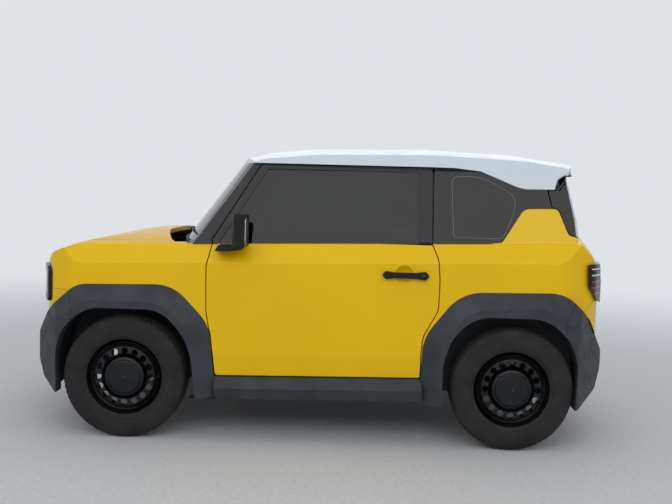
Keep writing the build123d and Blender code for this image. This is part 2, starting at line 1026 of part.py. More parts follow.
# Doors
below_belt = side_prism(
    [(-1700, belt_front_z - 32, 0), (1700, belt_rear_z + 35, 0), (1700, 100, 0), (-1700, 100, 0)],
    -wide,
    wide,
)
left_half = block(-1700, 1700, -wide, -668, 100, 1085)
left_upper_half = block(-1700, 1700, -wide, -300, 900, 1800)
left_door_panel = panel(
    lower_0,
    lower_door,
    [door_lower_region, below_belt, left_half],
    [
        side_prism(front_flare_outer, -wide, wide, door_gap),
        side_prism(rear_flare_outer, -wide, wide, door_gap),
    ],
)
with BuildPart() as scoop:
    with Locations((432, -828, 929)):
        Sphere(62)
with BuildPart() as door_notches:
    for z in door_hinge_heights:
        add(block(-700, door_hinge_x + 28, -door_hinge_y - 14, -600, z - 24, z + 24))
        add(
            bar(
                (door_hinge_x, -door_hinge_y, z - 38),
                (door_hinge_x, -door_hinge_y, z + 38),
                hinge_bore_r,
            )
        )

left_door_panel = panel(
    left_door_panel, scoop.part, [left_half], [door_notches.part]
)
left_door_frame = panel(
    cabin_0,
    cabin_door,
    [door_upper_region, above_belt, left_upper_half],
    [door_glass_region],
)
left_door_glass = panel(cabin_glass, cabin_pane, [door_glass_region, above_belt, left_upper_half], [])

# Door handle and mirror
handle_rows = [
    (313, 925, 8),
    (332, 903, 14),
    (372, 909, 10),
    (498, 909, 10),
    (545, 902, 16),
    (565, 925, 12),
    (545, 948, 16),
    (498, 941, 10),
    (372, 941, 10),
    (332, 947, 14),
]
mirror_foot_rows = [(-572, 1026, 4), (-552, 1058, 6), (-400, 1060, 6), (-436, 1036, 10), (-500, 1026, 10)]
mirror_recess = [(-403, -948, 10), (-403, -814, 10), (-380, -814, 0), (-380, -948, 0)]
mirror_plan = [(-478, -800, 14), (-470, -946, 34), (-404, -955, 14), (-397, -806, 8)]
with BuildPart() as door_trim:
    add(side_prism(handle_rows, -813, -780))
    add(block(374, 496, -801, -700, 880, 970), mode=Mode.SUBTRACT)
    add(side_prism(mirror_foot_rows, -862, -740))
    add(plan_prism(mirror_plan, 1056, 1222))
    add(plan_prism(mirror_recess, 1066, 1212), mode=Mode.SUBTRACT)
    add(lower_0, mode=Mode.SUBTRACT)
    add(cabin_0, mode=Mode.SUBTRACT)
left_door_trim = door_trim.part
save("left_door_trim", left_door_trim)
save("right_door_trim", mirror(left_door_trim, about=Plane.XZ))
save("left_door_panel", left_door_panel)
save("left_door_frame", left_door_frame)
save("left_door_glass", left_door_glass)
save("right_door_panel", mirror(left_door_panel, about=Plane.XZ))
save("right_door_frame", mirror(left_door_frame, about=Plane.XZ))
save("right_door_glass", mirror(left_door_glass, about=Plane.XZ))

# Tailgate
hatch_opening_rows = [(-560, 1200, 40), (560, 1200, 40), (520, 1440, 40), (-520, 1440, 40)]
hatch_opening = front_prism(hatch_opening_rows, 1100, 1700)
tailgate_glass = panel(cabin_0, cabin_glass, [hatch_prism], [])
tailgate_frame = panel(cabin_glass, cabin_door, [hatch_prism], [hatch_opening])
tailgate_panel = panel(
    lower_0,
    lower_door,
    [block(1200, 1700, -hatch_half_width, hatch_half_width, hatch_bottom_z, 1152)],
    [block(1200, 1395, -600, 600, 600, 1300)],
)
with BuildPart() as hatch_knuckle:
    for y in (hatch_hinge_y - 16, hatch_hinge_y + 16):
        add(block(1344, 1356, y - 6, y + 6, 1468, hatch_hinge_z + 2))
        add(block(1344, hatch_hinge_x, y - 6, y + 6, hatch_hinge_z - 5, hatch_hinge_z + 2))
        add(
            bar(
                (hatch_hinge_x, y - 6, hatch_hinge_z),
                (hatch_hinge_x, y + 6, hatch_hinge_z),
                hatch_barrel_r,
            )
        )
    add(
        bar(
            (hatch_hinge_x, hatch_hinge_y - 30, hatch_hinge_z),
            (hatch_hinge_x, hatch_hinge_y + 30, hatch_hinge_z),
            hatch_pin_r + running_gap,
        ),
        mode=Mode.SUBTRACT,
    )
tailgate_frame = joined(tailgate_frame, both_sides(hatch_knuckle.part))
save("tailgate_glass", tailgate_glass)
save("tailgate_frame", tailgate_frame)
save("tailgate_panel", tailgate_panel)


# Wheel houses
liner_t = 5.0
liner_grow = 20.0
front_liner_inner_y = 436.0
rear_liner_inner_y = 566.0
liner_outer_y = 741.5


def wheel_house(rows, inner_y, grow):
    return both_sides(side_prism(rows, inner_y - (grow - liner_grow), liner_outer_y, grow))


front_house = wheel_house(front_arch, front_liner_inner_y, liner_grow)
rear_house = wheel_house(rear_arch, rear_liner_inner_y, liner_grow)
front_house_out = wheel_house(front_arch, front_liner_inner_y, liner_grow + liner_t)
rear_house_out = wheel_house(rear_arch, rear_liner_inner_y, liner_grow + liner_t)
ball_joint_y = 652.0
ball_joint_z = 273.0
strut_top_y = 556.0
strut_top_z = 905.0
strut_foot_z = 449.0
spring_seat_z = 700.0
tower_top_z = 928.0


# Point on the right-hand steering axis at a height
def steer_point(z):
    lean = (ball_joint_y - strut_top_y) / (strut_top_z - ball_joint_z)
    return (front_axle_x, ball_joint_y - lean * (z - ball_joint_z), z)


tower_y = strut_top_y + 8
strut_hole = both_sides(bar((front_axle_x, tower_y, 640), (front_axle_x, tower_y, 990), 80))
axle_slot = both_sides(block(rear_axle_x - 60, rear_axle_x + 60, 500, 600, 150, 480))
with BuildPart() as wheelhouse_liners:
    add(front_house_out)
    add(rear_house_out)
    add(front_house, mode=Mode.SUBTRACT)
    add(rear_house, mode=Mode.SUBTRACT)
    add(block(-1700, 1700, -wide, wide, 0, 262), mode=Mode.SUBTRACT)
    add(plan_prism(mirrored_plan(cladding_inner), 90, 1100), mode=Mode.INTERSECT)
    add(strut_hole, mode=Mode.SUBTRACT)
    add(axle_slot, mode=Mode.SUBTRACT)
    add(both_sides(block(front_axle_x - 150, front_axle_x + 190, 400, 460, 150, 520)), mode=Mode.SUBTRACT)
save("wheelhouse_liners", wheelhouse_liners.part)

# Body frame: floor, sills, firewall, rails, door rings and rear floor
floor_t = 15.0
rear_floor_z = 492.0
pack_top_z = floor_z - floor_t
tower_outer_r = 88.0
sill_top_z = 346.0
bonnet_sweep = panel(
    lower_0,
    lower_volume(panel_t + 8),
    [block(-1600, -780, -bonnet_half_width - 8, bonnet_half_width + 8, 880, 1200)],
    [],
)
with BuildPart() as cladding_room:
    add(both_sides(side_prism(front_flare_outer, 741.5, wide)))
    add(both_sides(side_prism(rear_flare_outer, 741.5, wide)))
    add(both_sides(block(-700, 700, 741.5, wide, 200, 372)))
    add(front_bumper_cladding)
    add(rear_bumper_cladding)
cladding_room = cladding_room.part
with BuildPart() as door_leaves:
    for z in door_hinge_heights:
        add(block(door_hinge_x - 8, door_hinge_x + 8, 658, door_hinge_y, z - 18, z + 18))
        add(block(door_hinge_x - 56, door_hinge_x + 8, 658, door_hinge_y - 92, z - 18, z + 18))
        add(bar((door_hinge_x, door_hinge_y, z - 18), (door_hinge_x, door_hinge_y, z + 18), 9))
        add(bar((door_hinge_x, door_hinge_y, z - 36), (door_hinge_x, door_hinge_y, z + 36), hinge_pin_r))
with BuildPart() as body_frame:
    add(block(-690, 600, -700, 700, pack_top_z, floor_z))
    add(both_sides(block(-640, 628, 616, 741, 246, sill_top_z)))
    add(block(-712, -684, -660, 660, pack_top_z, 995))
    add(block(584, 600, -690, 690, pack_top_z, rear_floor_z))
    add(block(584, 1500, -561, 561, rear_floor_z - 14, rear_floor_z))
    add(block(1490, 1512, -600, 600, 330, hatch_bottom_z - 14))
    add(both_sides(block(-1500, -700, 350, 410, 430, 500)))
    add(block(-1530, -1500, -640, 640, 430, 560))
    add(block(-1510, -1490, -600, 600, 430, 895))
    add(both_sides(block(-1500, -700, 632, 650, 740, 985)))
    add(both_sides(block(-1140, -960, 540, 640, 735, 940)))
    add(both_sides(bar((front_axle_x, tower_y, 700), (front_axle_x, tower_y, 940), tower_outer_r)))
    add(
        both_sides(
            bar(
                (front_axle_x, tower_y, 600),
                (front_axle_x, tower_y, tower_top_z),
                tower_outer_r - 8,
            )
        ),
        mode=Mode.SUBTRACT,
    )
    add(front_house_out, mode=Mode.SUBTRACT)
    add(both_sides(block(600, 1500, 360, 420, 430, rear_floor_z - 14)))
    add(both_sides(block(1380, 1512, 440, 600, 430, rear_floor_z)))
    add(rear_house_out, mode=Mode.SUBTRACT)
    add(
        panel(
            lower_panel,
            lower_ring,
            [side_prism(door_lower, -wide, wide, 60), below_belt],
            [door_lower_clear, front_house_out, rear_house_out, block(-800, 800, -620, 620, 100, 1300)],
        )
    )
    add(
        panel(
            lower_seal,
            lower_ring,
            [side_prism(door_lower, -wide, wide, 60), below_belt],
            [
                side_prism(door_lower, -wide, wide, -46),
                front_house_out,
                rear_house_out,
                block(-800, 800, -620, 620, 100, 1300),
            ],
        )
    )
    add(lower_panel, mode=Mode.INTERSECT)
    add(bonnet_sweep, mode=Mode.SUBTRACT)
    add(cladding_room, mode=Mode.SUBTRACT)
    add(door_pocket, mode=Mode.SUBTRACT)
    add(both_sides(door_leaves.part))
save("body_frame", body_frame.part)

# Battery pack under the floor
battery_pack = block(-540, 540, -560, 560, 196, pack_top_z)
save("battery_pack", battery_pack)

# Front suspension: crossmember, lower arms and struts
strut_pin_r = 12.0
ball_pin_r = 10.0
with BuildPart() as front_suspension:
    add(block(-1010, -896, -340, 340, 250, 300))
    add(block(-1180, -1120, -380, 380, 250, 300))
    add(both_sides(block(-1180, -940, 340, 400, 250, 430)))
    add(both_sides(block(-1175, -935, 380, 430, 262, 286)))
    with BuildSketch(Plane.XY.offset(262)):
        with BuildLine():
            Polyline(
                (-1170, 390),
                (-1084, ball_joint_y),
                (-1016, ball_joint_y),
                (-940, 390),
                close=True,
            )
        make_face()
        mirror(about=Plane.XZ)
    extrude(amount=22)
    add(both_sides(bar(steer_point(strut_foot_z), steer_point(strut_top_z), 22)))
    add(both_sides(bar(steer_point(spring_seat_z), steer_point(strut_top_z), 52)))
    add(
        both_sides(
            bar(
                (front_axle_x, strut_top_y, strut_top_z - 10),
                (front_axle_x, strut_top_y, tower_top_z),
                40,
            )
        )
    )
    add(both_sides(bar(steer_point(strut_foot_z - 28), steer_point(strut_foot_z + 10), strut_pin_r)))
    add(both_sides(bar(steer_point(266), steer_point(304), ball_pin_r)))

# Steering rack: housing on the crossmember, bar with its rods
rack_x = front_axle_x + 128
rack_z = 352.0
rack_bar_r = 12.0
rack_half = 552.0
with BuildPart() as steering_rack:
    add(bar((rack_x, -250, rack_z), (rack_x, 250, rack_z), 28))
    add(block(rack_x - 22, rack_x + 22, -200, -150, 300, rack_z - 20))
    add(block(rack_x - 22, rack_x + 22, 150, 200, 300, rack_z - 20))
    add(
        bar((rack_x, -260, rack_z), (rack_x, 260, rack_z), rack_bar_r + running_gap),
        mode=Mode.SUBTRACT,
    )
save("front_suspension", joined(front_suspension.part, steering_rack.part))
tie_rods = bar((rack_x, -rack_half, rack_z), (rack_x, rack_half, rack_z), rack_bar_r)
save("tie_rods", tie_rods)

# Steering knuckles with their spindles and brake calipers
disc_y_from = 690.0
disc_y_to = 704.0
disc_r = 118.0
with BuildPart() as knuckle:
    add(bar((front_axle_x, 632, tyre_radius), (front_axle_x, 676, tyre_radius), 44))
    add(bar((front_axle_x, 660, tyre_radius), (front_axle_x, 744, tyre_radius), spindle_radius))
    add(bar(steer_point(289), steer_point(strut_foot_z - 0.5), 24))
    add(block(front_axle_x, rack_x + 18, 560, 600, rack_z + rack_bar_r + 8, rack_z + rack_bar_r + 26))
    add(
        block(
            front_axle_x - 20,
            front_axle_x + 24,
            590,
            640,
            rack_z + rack_bar_r + 8,
            rack_z + rack_bar_r + 26,
        )
    )
    add(block(front_axle_x - 150, front_axle_x - 20, 662, 682, tyre_radius - 24, tyre_radius + 24))
    add(block(front_axle_x - 138, front_axle_x - 74, 662, 724, tyre_radius - 52, tyre_radius + 52))
    add(
        bar(
            steer_point(strut_foot_z - 31),
            steer_point(strut_foot_z + 4),
            strut_pin_r + running_gap,
        ),
        mode=Mode.SUBTRACT,
    )
    add(bar(steer_point(262), steer_point(307), ball_pin_r + running_gap), mode=Mode.SUBTRACT)
    add(
        block(
            front_axle_x - 125,
            front_axle_x - 60,
            disc_y_from - 6,
            disc_y_to + 6,
            tyre_radius - 60,
            tyre_radius + 60,
        ),
        mode=Mode.SUBTRACT,
    )
right_knuckle = knuckle.part
save("right_knuckle", right_knuckle)
save("left_knuckle", mirror(right_knuckle, about=Plane.XZ))

# Rear axle with the drive motor and suspension
with BuildPart() as rear_axle:
    add(both_sides(bar((rear_axle_x, 0, tyre_radius), (rear_axle_x, 676, tyre_radius), 34)))
    add(both_sides(bar((rear_axle_x, 660, tyre_radius), (rear_axle_x, 744, tyre_radius), spindle_radius)))
    add(both_sides(block(rear_axle_x - 130, rear_axle_x + 20, 360, 420, 316, 346)))
save("rear_axle", rear_axle.part)
motor_r = 104.0
drive_motor = joined(
    bar((rear_axle_x, -90, tyre_radius), (rear_axle_x, 90, tyre_radius), motor_r)
    - bar((rear_axle_x, -91, tyre_radius), (rear_axle_x, 91, tyre_radius), 34),
    block(rear_axle_x + 60, rear_axle_x + 250, -110, 170, 236, 420),
)
drive_motor = drive_motor - bar((rear_axle_x, -300, tyre_radius), (rear_axle_x, 300, tyre_radius), 34)
save("drive_motor", drive_motor)
with BuildPart() as rear_suspension:
    add(both_sides(bar((rear_axle_x - 95, 390, 346), (rear_axle_x - 95, 390, 430), 50)))
    add(both_sides(bar((rear_axle_x + 62, 470, 300), (rear_axle_x + 110, 470, rear_floor_z - 21.0), 22)))
    add(both_sides(block(rear_axle_x + 20, rear_axle_x + 80, 455, 485, 285, 345)))
    add(both_sides(block(640, rear_axle_x - 33, 470, 510, 290, 326)))
    add(both_sides(block(640, 690, 470, 510, 290, rear_floor_z - 14)))
    add(both_sides(block(rear_axle_x - 60, rear_axle_x - 20, 470, 510, 290, 345)))
    add(bar((rear_axle_x, 0, tyre_radius), (rear_axle_x, 1, tyre_radius), 30), mode=Mode.SUBTRACT)
    add(
        both_sides(bar((rear_axle_x, 300, tyre_radius), (rear_axle_x, 600, tyre_radius), 34)),
        mode=Mode.SUBTRACT,
    )
save("rear_suspension", rear_suspension.part)

# Wheels, built about the right-hand front hub and copied
tyre_inner_y = tyre_outer_y - tyre_width
tyre_rows = [
    (bead_radius, tyre_inner_y + 16, 0),
    (bead_radius + 48, tyre_inner_y, 0),
    (tyre_radius - 32, tyre_inner_y, 0),
    (tyre_radius, tyre_mid_y - 62, 0),
    (tyre_radius, tyre_mid_y + 62, 0),
    (tyre_radius - 32, tyre_outer_y, 0),
    (bead_radius + 48, tyre_outer_y, 0),
    (bead_radius, tyre_outer_y - 16, 0),
    (bead_radius, tyre_outer_y - 30, 0),
    (tyre_radius - 16, tyre_outer_y - 26, 0),
    (tyre_radius - 16, tyre_inner_y + 26, 0),
    (bead_radius, tyre_inner_y + 30, 0),
]


def wheel_turned(rows):
    with BuildPart() as turned:
        with BuildSketch(Plane.YZ):
            with BuildLine():
                FilletPolyline(
                    *[(y, radius) for radius, y, r in rows],
                    radius=[r for radius, y, r in rows],
                    close=True,
                )
            make_face()
        revolve(axis=Axis.Y, revolution_arc=360)
    return turned.part


rim_rows = [
    (bead_radius - 6, tyre_inner_y + 10, 0),
    (rim_lip_radius, tyre_inner_y + 6, 0),
    (rim_lip_radius, tyre_inner_y + 2, 0),
    (bead_radius - 8, tyre_inner_y + 2, 0),
    (bead_radius - 8, tyre_inner_y + 34, 0),
    (bead_radius - 26, tyre_inner_y + 44, 0),
    (bead_radius - 26, tyre_outer_y - 52, 0),
    (bead_radius - 8, tyre_outer_y - 40, 0),
    (bead_radius - 8, tyre_outer_y - 6, 0),
    (rim_lip_radius, tyre_outer_y - 2, 0),
    (rim_lip_radius, tyre_outer_y - 8, 0),
    (bead_radius, tyre_outer_y - 14, 0),
    (bead_radius, tyre_outer_y - 34, 0),
    (bead_radius - 18, tyre_outer_y - 46, 0),
    (bead_radius - 18, tyre_inner_y + 50, 0),
    (bead_radius, tyre_inner_y + 38, 0),
    (bead_radius, tyre_inner_y + 14, 0),
]
disc_rows = [
    (bead_radius - 24, tyre_outer_y - 62, 0),
    (bead_radius - 26, tyre_outer_y - 50, 0),
    (161, tyre_outer_y - 26, 8),
    (126, tyre_outer_y - 20, 8),
    (114, tyre_outer_y - 44, 8),
    (104, tyre_outer_y - 58, 8),
    (0, tyre_outer_y - 58, 0),
    (0, tyre_outer_y - 63, 0),
    (106, tyre_outer_y - 63, 0),
    (118, tyre_outer_y - 49, 0),
    (129, tyre_outer_y - 25, 0),
    (159, tyre_outer_y - 31, 0),
]
with BuildPart() as rim:
    add(wheel_turned(rim_rows))
    add(wheel_turned(disc_rows))
    with BuildSketch(Plane.XZ.offset(-(tyre_outer_y + 5))):
        with PolarLocations(wheel_hole_ring, wheel_hole_count):
            Circle(wheel_hole_radius)
    extrude(amount=60, mode=Mode.SUBTRACT)
    add(bar((0, 684, 0), (0, tyre_outer_y - 63, 0), 66, hub_bore_radius))
    add(bar((0, disc_y_from, 0), (0, disc_y_to, 0), disc_r, 60))
cap_rows = [
    (0, tyre_outer_y - 58, 0),
    (70, tyre_outer_y - 58, 0),
    (70, tyre_outer_y - 44, 0),
    (cap_radius - 3, tyre_outer_y - 34, 6),
    (cap_radius - 4, tyre_outer_y - 20, 8),
    (cap_radius - 18, tyre_outer_y - 16, 3),
    (cap_radius - 24, tyre_outer_y - 8, 6),
    (0, tyre_outer_y - 5, 0),
]
tyre = wheel_turned(tyre_rows)
rim_body = joined(rim.part, wheel_turned(cap_rows))
for end, axle_x in (("front", front_axle_x), ("rear", rear_axle_x)):
    hub = Pos(axle_x, 0, tyre_radius)
    save("right_" + end + "_tyre", hub * tyre)
    save("right_" + end + "_rim", hub * rim_body)
    save("left_" + end + "_tyre", mirror(hub * tyre, about=Plane.XZ))
    save("left_" + end + "_rim", mirror(hub * rim_body, about=Plane.XZ))

# Cabin
dash_rows = [
    (-684, 700, 0),
    (-684, 1000, 0),
    (-830, 1040, 0),
    (-830, 1056, 10),
    (-560, 1058, 60),
    (-410, 1010, 50),
    (-392, 912, 30),
    (-440, 800, 40),
    (-560, 712, 30),
]
wheel_centre = (-262.0, -360.0, 962.0)
column_rake = math.radians(24)
column_dir = (math.cos(column_rake), 0, math.sin(column_rake))
column_start = tuple(c - 250 * d for c, d in zip(wheel_centre, column_dir))
column_end = tuple(c - 28.3 * d for c, d in zip(wheel_centre, column_dir))
hub_start = tuple(c - 28 * d for c, d in zip(wheel_centre, column_dir))
hub_end = tuple(c + 12 * d for c, d in zip(wheel_centre, column_dir))
with BuildPart() as dashboard:
    add(side_prism(dash_rows, -612, 612))
    add(cabin_ring, mode=Mode.INTERSECT)
    add(screen_disc(0, cowl_inner_r - 5, 700, 1200), mode=Mode.INTERSECT)
    add(block(-684, -470, -600, 600, 720, 830))
    add(block(-436, -418, -130, 130, 985, 1120))
    add(bar(column_start, column_end, 34))
    add(block(-500, -260, -110, 110, floor_z, 560))
save("dashboard", dashboard.part)
wheel_plane = Plane(origin=wheel_centre, x_dir=(0, 1, 0), z_dir=column_dir)
grip_normal = (math.sin(column_rake), 0, -math.cos(column_rake))
grip_plane = Plane(origin=wheel_centre, x_dir=(0, 1, 0), z_dir=grip_normal)
with BuildPart() as steering_wheel:
    add(bar(hub_start, hub_end, 46))
    with BuildSketch(grip_plane):
        with Locations((172, 0)):
            Circle(15)
    revolve(axis=Axis(wheel_centre, column_dir), revolution_arc=360)
    with BuildSketch(wheel_plane.offset(-8)):
        with Locations((0, 0)):
            Rectangle(330, 34)
        with Locations((0, 80)):
            Rectangle(34, 150)
    extrude(amount=14)
save("steering_wheel", steering_wheel.part)

# Seats
seat_y = 350.0
seat_half = 240.0
cushion_rows = [(-250, 470, 30), (-250, 590, 50), (200, 556, 30), (200, 440, 0)]
back_rows = [(160, 560, 30), (210, 470, 40), (300, 470, 40), (430, 1090, 50), (330, 1120, 50)]
rest_rows = [(372, 1130, 20), (390, 1310, 40), (470, 1300, 40), (450, 1120, 20)]
with BuildPart() as seat:
    add(side_prism(cushion_rows, seat_y - seat_half, seat_y + seat_half))
    add(side_prism(back_rows, seat_y - seat_half, seat_y + seat_half))
    add(side_prism(rest_rows, seat_y - 130, seat_y + 130))
    add(block(390, 420, seat_y - 70, seat_y - 50, 1060, 1140))
    add(block(390, 420, seat_y + 50, seat_y + 70, 1060, 1140))
    add(block(-180, 240, seat_y - 200, seat_y - 160, floor_z, 480))
    add(block(-180, 240, seat_y + 160, seat_y + 200, floor_z, 480))
    add(block(-150, 210, seat_y - 180, seat_y + 180, 420, 470))
save("front_seats", both_sides(seat.part))
bench_cushion = [
    (610, 500, 20),
    (610, 600, 40),
    (1010, 570, 30),
    (1010, rear_floor_z, 0),
    (620, rear_floor_z, 0),
]
bench_back = [
    (950, 580, 30),
    (1010, rear_floor_z, 0),
    (1090, rear_floor_z, 0),
    (1180, 1010, 40),
    (1090, 1020, 40),
]
rear_bench = joined(side_prism(bench_cushion, -555, 555), side_prism(bench_back, -555, 555))
save("rear_bench", rear_bench)
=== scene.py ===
import json
import math

import bmesh
import bpy
import numpy as np
from mathutils import Matrix, Vector
from mathutils.bvhtree import BVHTree


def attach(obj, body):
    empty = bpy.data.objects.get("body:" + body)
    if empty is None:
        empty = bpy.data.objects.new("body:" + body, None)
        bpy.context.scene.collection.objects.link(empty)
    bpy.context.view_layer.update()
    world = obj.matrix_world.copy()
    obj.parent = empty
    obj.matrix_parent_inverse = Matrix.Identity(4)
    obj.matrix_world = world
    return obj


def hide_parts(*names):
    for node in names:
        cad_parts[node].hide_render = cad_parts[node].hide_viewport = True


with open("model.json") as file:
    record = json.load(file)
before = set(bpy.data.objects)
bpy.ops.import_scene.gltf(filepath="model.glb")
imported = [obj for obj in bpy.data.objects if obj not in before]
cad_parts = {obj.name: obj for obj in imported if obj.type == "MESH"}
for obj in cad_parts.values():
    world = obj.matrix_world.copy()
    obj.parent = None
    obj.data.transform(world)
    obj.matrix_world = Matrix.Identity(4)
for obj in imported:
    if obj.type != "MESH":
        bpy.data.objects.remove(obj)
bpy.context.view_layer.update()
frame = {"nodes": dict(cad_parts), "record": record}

nodes = frame["nodes"]

# Driving dimensions, in metres
front_axle_x = -1.050
rear_axle_x = 1.025
tyre_radius = 0.331
tyre_outer_y = 0.815
tyre_width = 0.175
car_sides = (("left", -1), ("right", 1))

# Colours, as linear light
yellow = (0.78, 0.475, 0.0008)
yellow_faded = (0.81, 0.505, 0.0016)
roof_white = (0.62, 0.68, 0.73)
roof_grey = (0.59, 0.65, 0.70)
plastic_dark = (0.020, 0.024, 0.030)
plastic_pale = (0.033, 0.039, 0.046)
trim_black = (0.006, 0.006, 0.007)
lining_dark = (0.030, 0.031, 0.033)
glass_tint = (0.028, 0.035, 0.038)
rubber_dark = (0.008, 0.008, 0.009)
rubber_dusty = (0.019, 0.018, 0.018)
lamp_red = (0.020, 0.0016, 0.0020)
steel_grey = (0.42, 0.42, 0.43)
cloth_dark = (0.020, 0.021, 0.023)
cloth_pale = (0.050, 0.052, 0.056)
floor_grey = (0.56, 0.57, 0.58)
backdrop_colour = (0.74, 0.77, 0.80)


# Materials

def shader(name, colour, roughness, metallic=0.0, coat=0.0, coat_roughness=0.03, specular=0.5):
    made = bpy.data.materials.new(name)
    made.use_nodes = True
    surface = made.node_tree.nodes["Principled BSDF"]
    surface.inputs["Base Color"].default_value = (*colour, 1)
    surface.inputs["Roughness"].default_value = roughness
    surface.inputs["Metallic"].default_value = metallic
    surface.inputs["Coat Weight"].default_value = coat
    surface.inputs["Coat Roughness"].default_value = coat_roughness
    surface.inputs["Specular IOR Level"].default_value = specular
    return made


def add_node(made, kind, **settings):
    node = made.node_tree.nodes.new(kind)
    for key, value in settings.items():
        setattr(node, key, value)
    return node


def place(made):
    coordinates = made.node_tree.nodes.get("place")
    if coordinates is None:
        coordinates = add_node(made, "ShaderNodeTexCoord", name="place")
    return coordinates.outputs["Object"]


def grain(made, scale, detail=4.0, stretch=(1, 1, 1)):
    """Noise over the object's own coordinates."""
    mapping = add_node(made, "ShaderNodeMapping")
    mapping.inputs["Scale"].default_value = stretch
    texture = add_node(made, "ShaderNodeTexNoise")
    texture.inputs["Scale"].default_value = scale
    texture.inputs["Detail"].default_value = detail
    made.node_tree.links.new(place(made), mapping.inputs["Vector"])
    made.node_tree.links.new(mapping.outputs["Vector"], texture.inputs["Vector"])
    return texture.outputs["Fac"]


def ramp(made, source, stops):
    table = add_node(made, "ShaderNodeValToRGB")
    elements = table.color_ramp.elements
    while len(elements) < len(stops):
        elements.new(0.5)
    for element, (position, colour) in zip(elements, stops):
        element.position = position
        element.color = (*colour, 1)
    made.node_tree.links.new(source, table.inputs["Fac"])
    return table.outputs["Color"]


def tone(made, source, low, high, low_at=0.35, high_at=0.65):
    colour = ramp(made, source, [(low_at, low), (high_at, high)])
    made.node_tree.links.new(colour, made.node_tree.nodes["Principled BSDF"].inputs["Base Color"])


def roughen(made, source, low, high):
    spread = add_node(made, "ShaderNodeMapRange")
    spread.inputs["From Min"].default_value = 0.3
    spread.inputs["From Max"].default_value = 0.7
    spread.inputs["To Min"].default_value = low
    spread.inputs["To Max"].default_value = high
    made.node_tree.links.new(source, spread.inputs["Value"])
    made.node_tree.links.new(
        spread.outputs["Result"], made.node_tree.nodes["Principled BSDF"].inputs["Roughness"]
    )


def raise_surface(made, source, depth, strength=1.0):
    bump = add_node(made, "ShaderNodeBump")
    bump.inputs["Distance"].default_value = depth
    bump.inputs["Strength"].default_value = strength
    made.node_tree.links.new(source, bump.inputs["Height"])
    surface = made.node_tree.nodes["Principled BSDF"]
    if surface.inputs["Normal"].is_linked:
        earlier = surface.inputs["Normal"].links[0].from_socket
        made.node_tree.links.new(earlier, bump.inputs["Normal"])
    made.node_tree.links.new(bump.outputs["Normal"], surface.inputs["Normal"])


def seen_rays(tree):
    """One for rays from the camera, for glossy rays and for rays through glass."""
    path = tree.nodes.new("ShaderNodeLightPath")
    total = path.outputs["Is Camera Ray"]
    for kind in ("Is Glossy Ray", "Is Transmission Ray"):
        added = tree.nodes.new("ShaderNodeMath")
        added.operation = "ADD"
        added.use_clamp = True
        tree.links.new(total, added.inputs[0])
        tree.links.new(path.outputs[kind], added.inputs[1])
        total = added.outputs[0]
    return total


def paint(name, colour, faded, coat):
    made = shader(name, colour, 0.34, coat=coat, coat_roughness=0.04, specular=0.12)
    tone(made, grain(made, 1.6), colour, faded)
    roughen(made, grain(made, 9.0), 0.28, 0.42)
    raise_surface(made, grain(made, 420.0, 2.0), 0.00006, 0.35)
    return made


def lined_paint(name, axis, far):
    """Body paint whose faces turned towards the cabin are dark lining instead."""
    made = paint(name, yellow, yellow_faded, 0.2)
    links = made.node_tree.links
    surface = made.node_tree.nodes["Principled BSDF"]
    place(made)
    coordinates = made.node_tree.nodes["place"]
    where = add_node(made, "ShaderNodeSeparateXYZ")
    facing = add_node(made, "ShaderNodeSeparateXYZ")
    links.new(coordinates.outputs["Object"], where.inputs[0])
    links.new(coordinates.outputs["Normal"], facing.inputs[0])
    inward = add_node(made, "ShaderNodeMath", operation="MULTIPLY")
    links.new(where.outputs[axis], inward.inputs[0])
    links.new(facing.outputs[axis], inward.inputs[1])
    share = add_node(made, "ShaderNodeMapRange")
    share.inputs["From Min"].default_value = -0.55 * far
    share.inputs["From Max"].default_value = -0.45 * far
    share.inputs["To Min"].default_value = 1.0
    share.inputs["To Max"].default_value = 0.0
    links.new(inward.outputs[0], share.inputs["Value"])
    blend = add_node(made, "ShaderNodeMixRGB")
    links.new(share.outputs["Result"], blend.inputs["Fac"])
    links.new(surface.inputs["Base Color"].links[0].from_socket, blend.inputs["Color1"])
    blend.inputs["Color2"].default_value = (*lining_dark, 1)
    links.new(blend.outputs["Color"], surface.inputs["Base Color"])
    coat = add_node(made, "ShaderNodeMapRange")
    coat.inputs["To Min"].default_value = 0.2
    coat.inputs["To Max"].default_value = 0.0
    links.new(share.outputs["Result"], coat.inputs["Value"])
    links.new(coat.outputs["Result"], surface.inputs["Coat Weight"])
    return made


def moulded(name, dark, pale, roughness, grain_scale=520.0, depth=0.0003):
    made = shader(name, dark, roughness, specular=0.4)
    tone(made, grain(made, 6.0), dark, pale)
    roughen(made, grain(made, 14.0), roughness - 0.08, roughness + 0.1)
    raise_surface(made, grain(made, grain_scale, 3.0), depth, 0.6)
    return made


def tinted(name, colour, roughness=0.02):
    """Dark glass: a clear film that lets little light through."""
    made = shader(name, colour, roughness, specular=0.5)
    surface = made.node_tree.nodes["Principled BSDF"]
    surface.inputs["Transmission Weight"].default_value = 1.0
    surface.inputs["IOR"].default_value = 1.33
    roughen(made, grain(made, 3.0), roughness, roughness + 0.02)
    return made


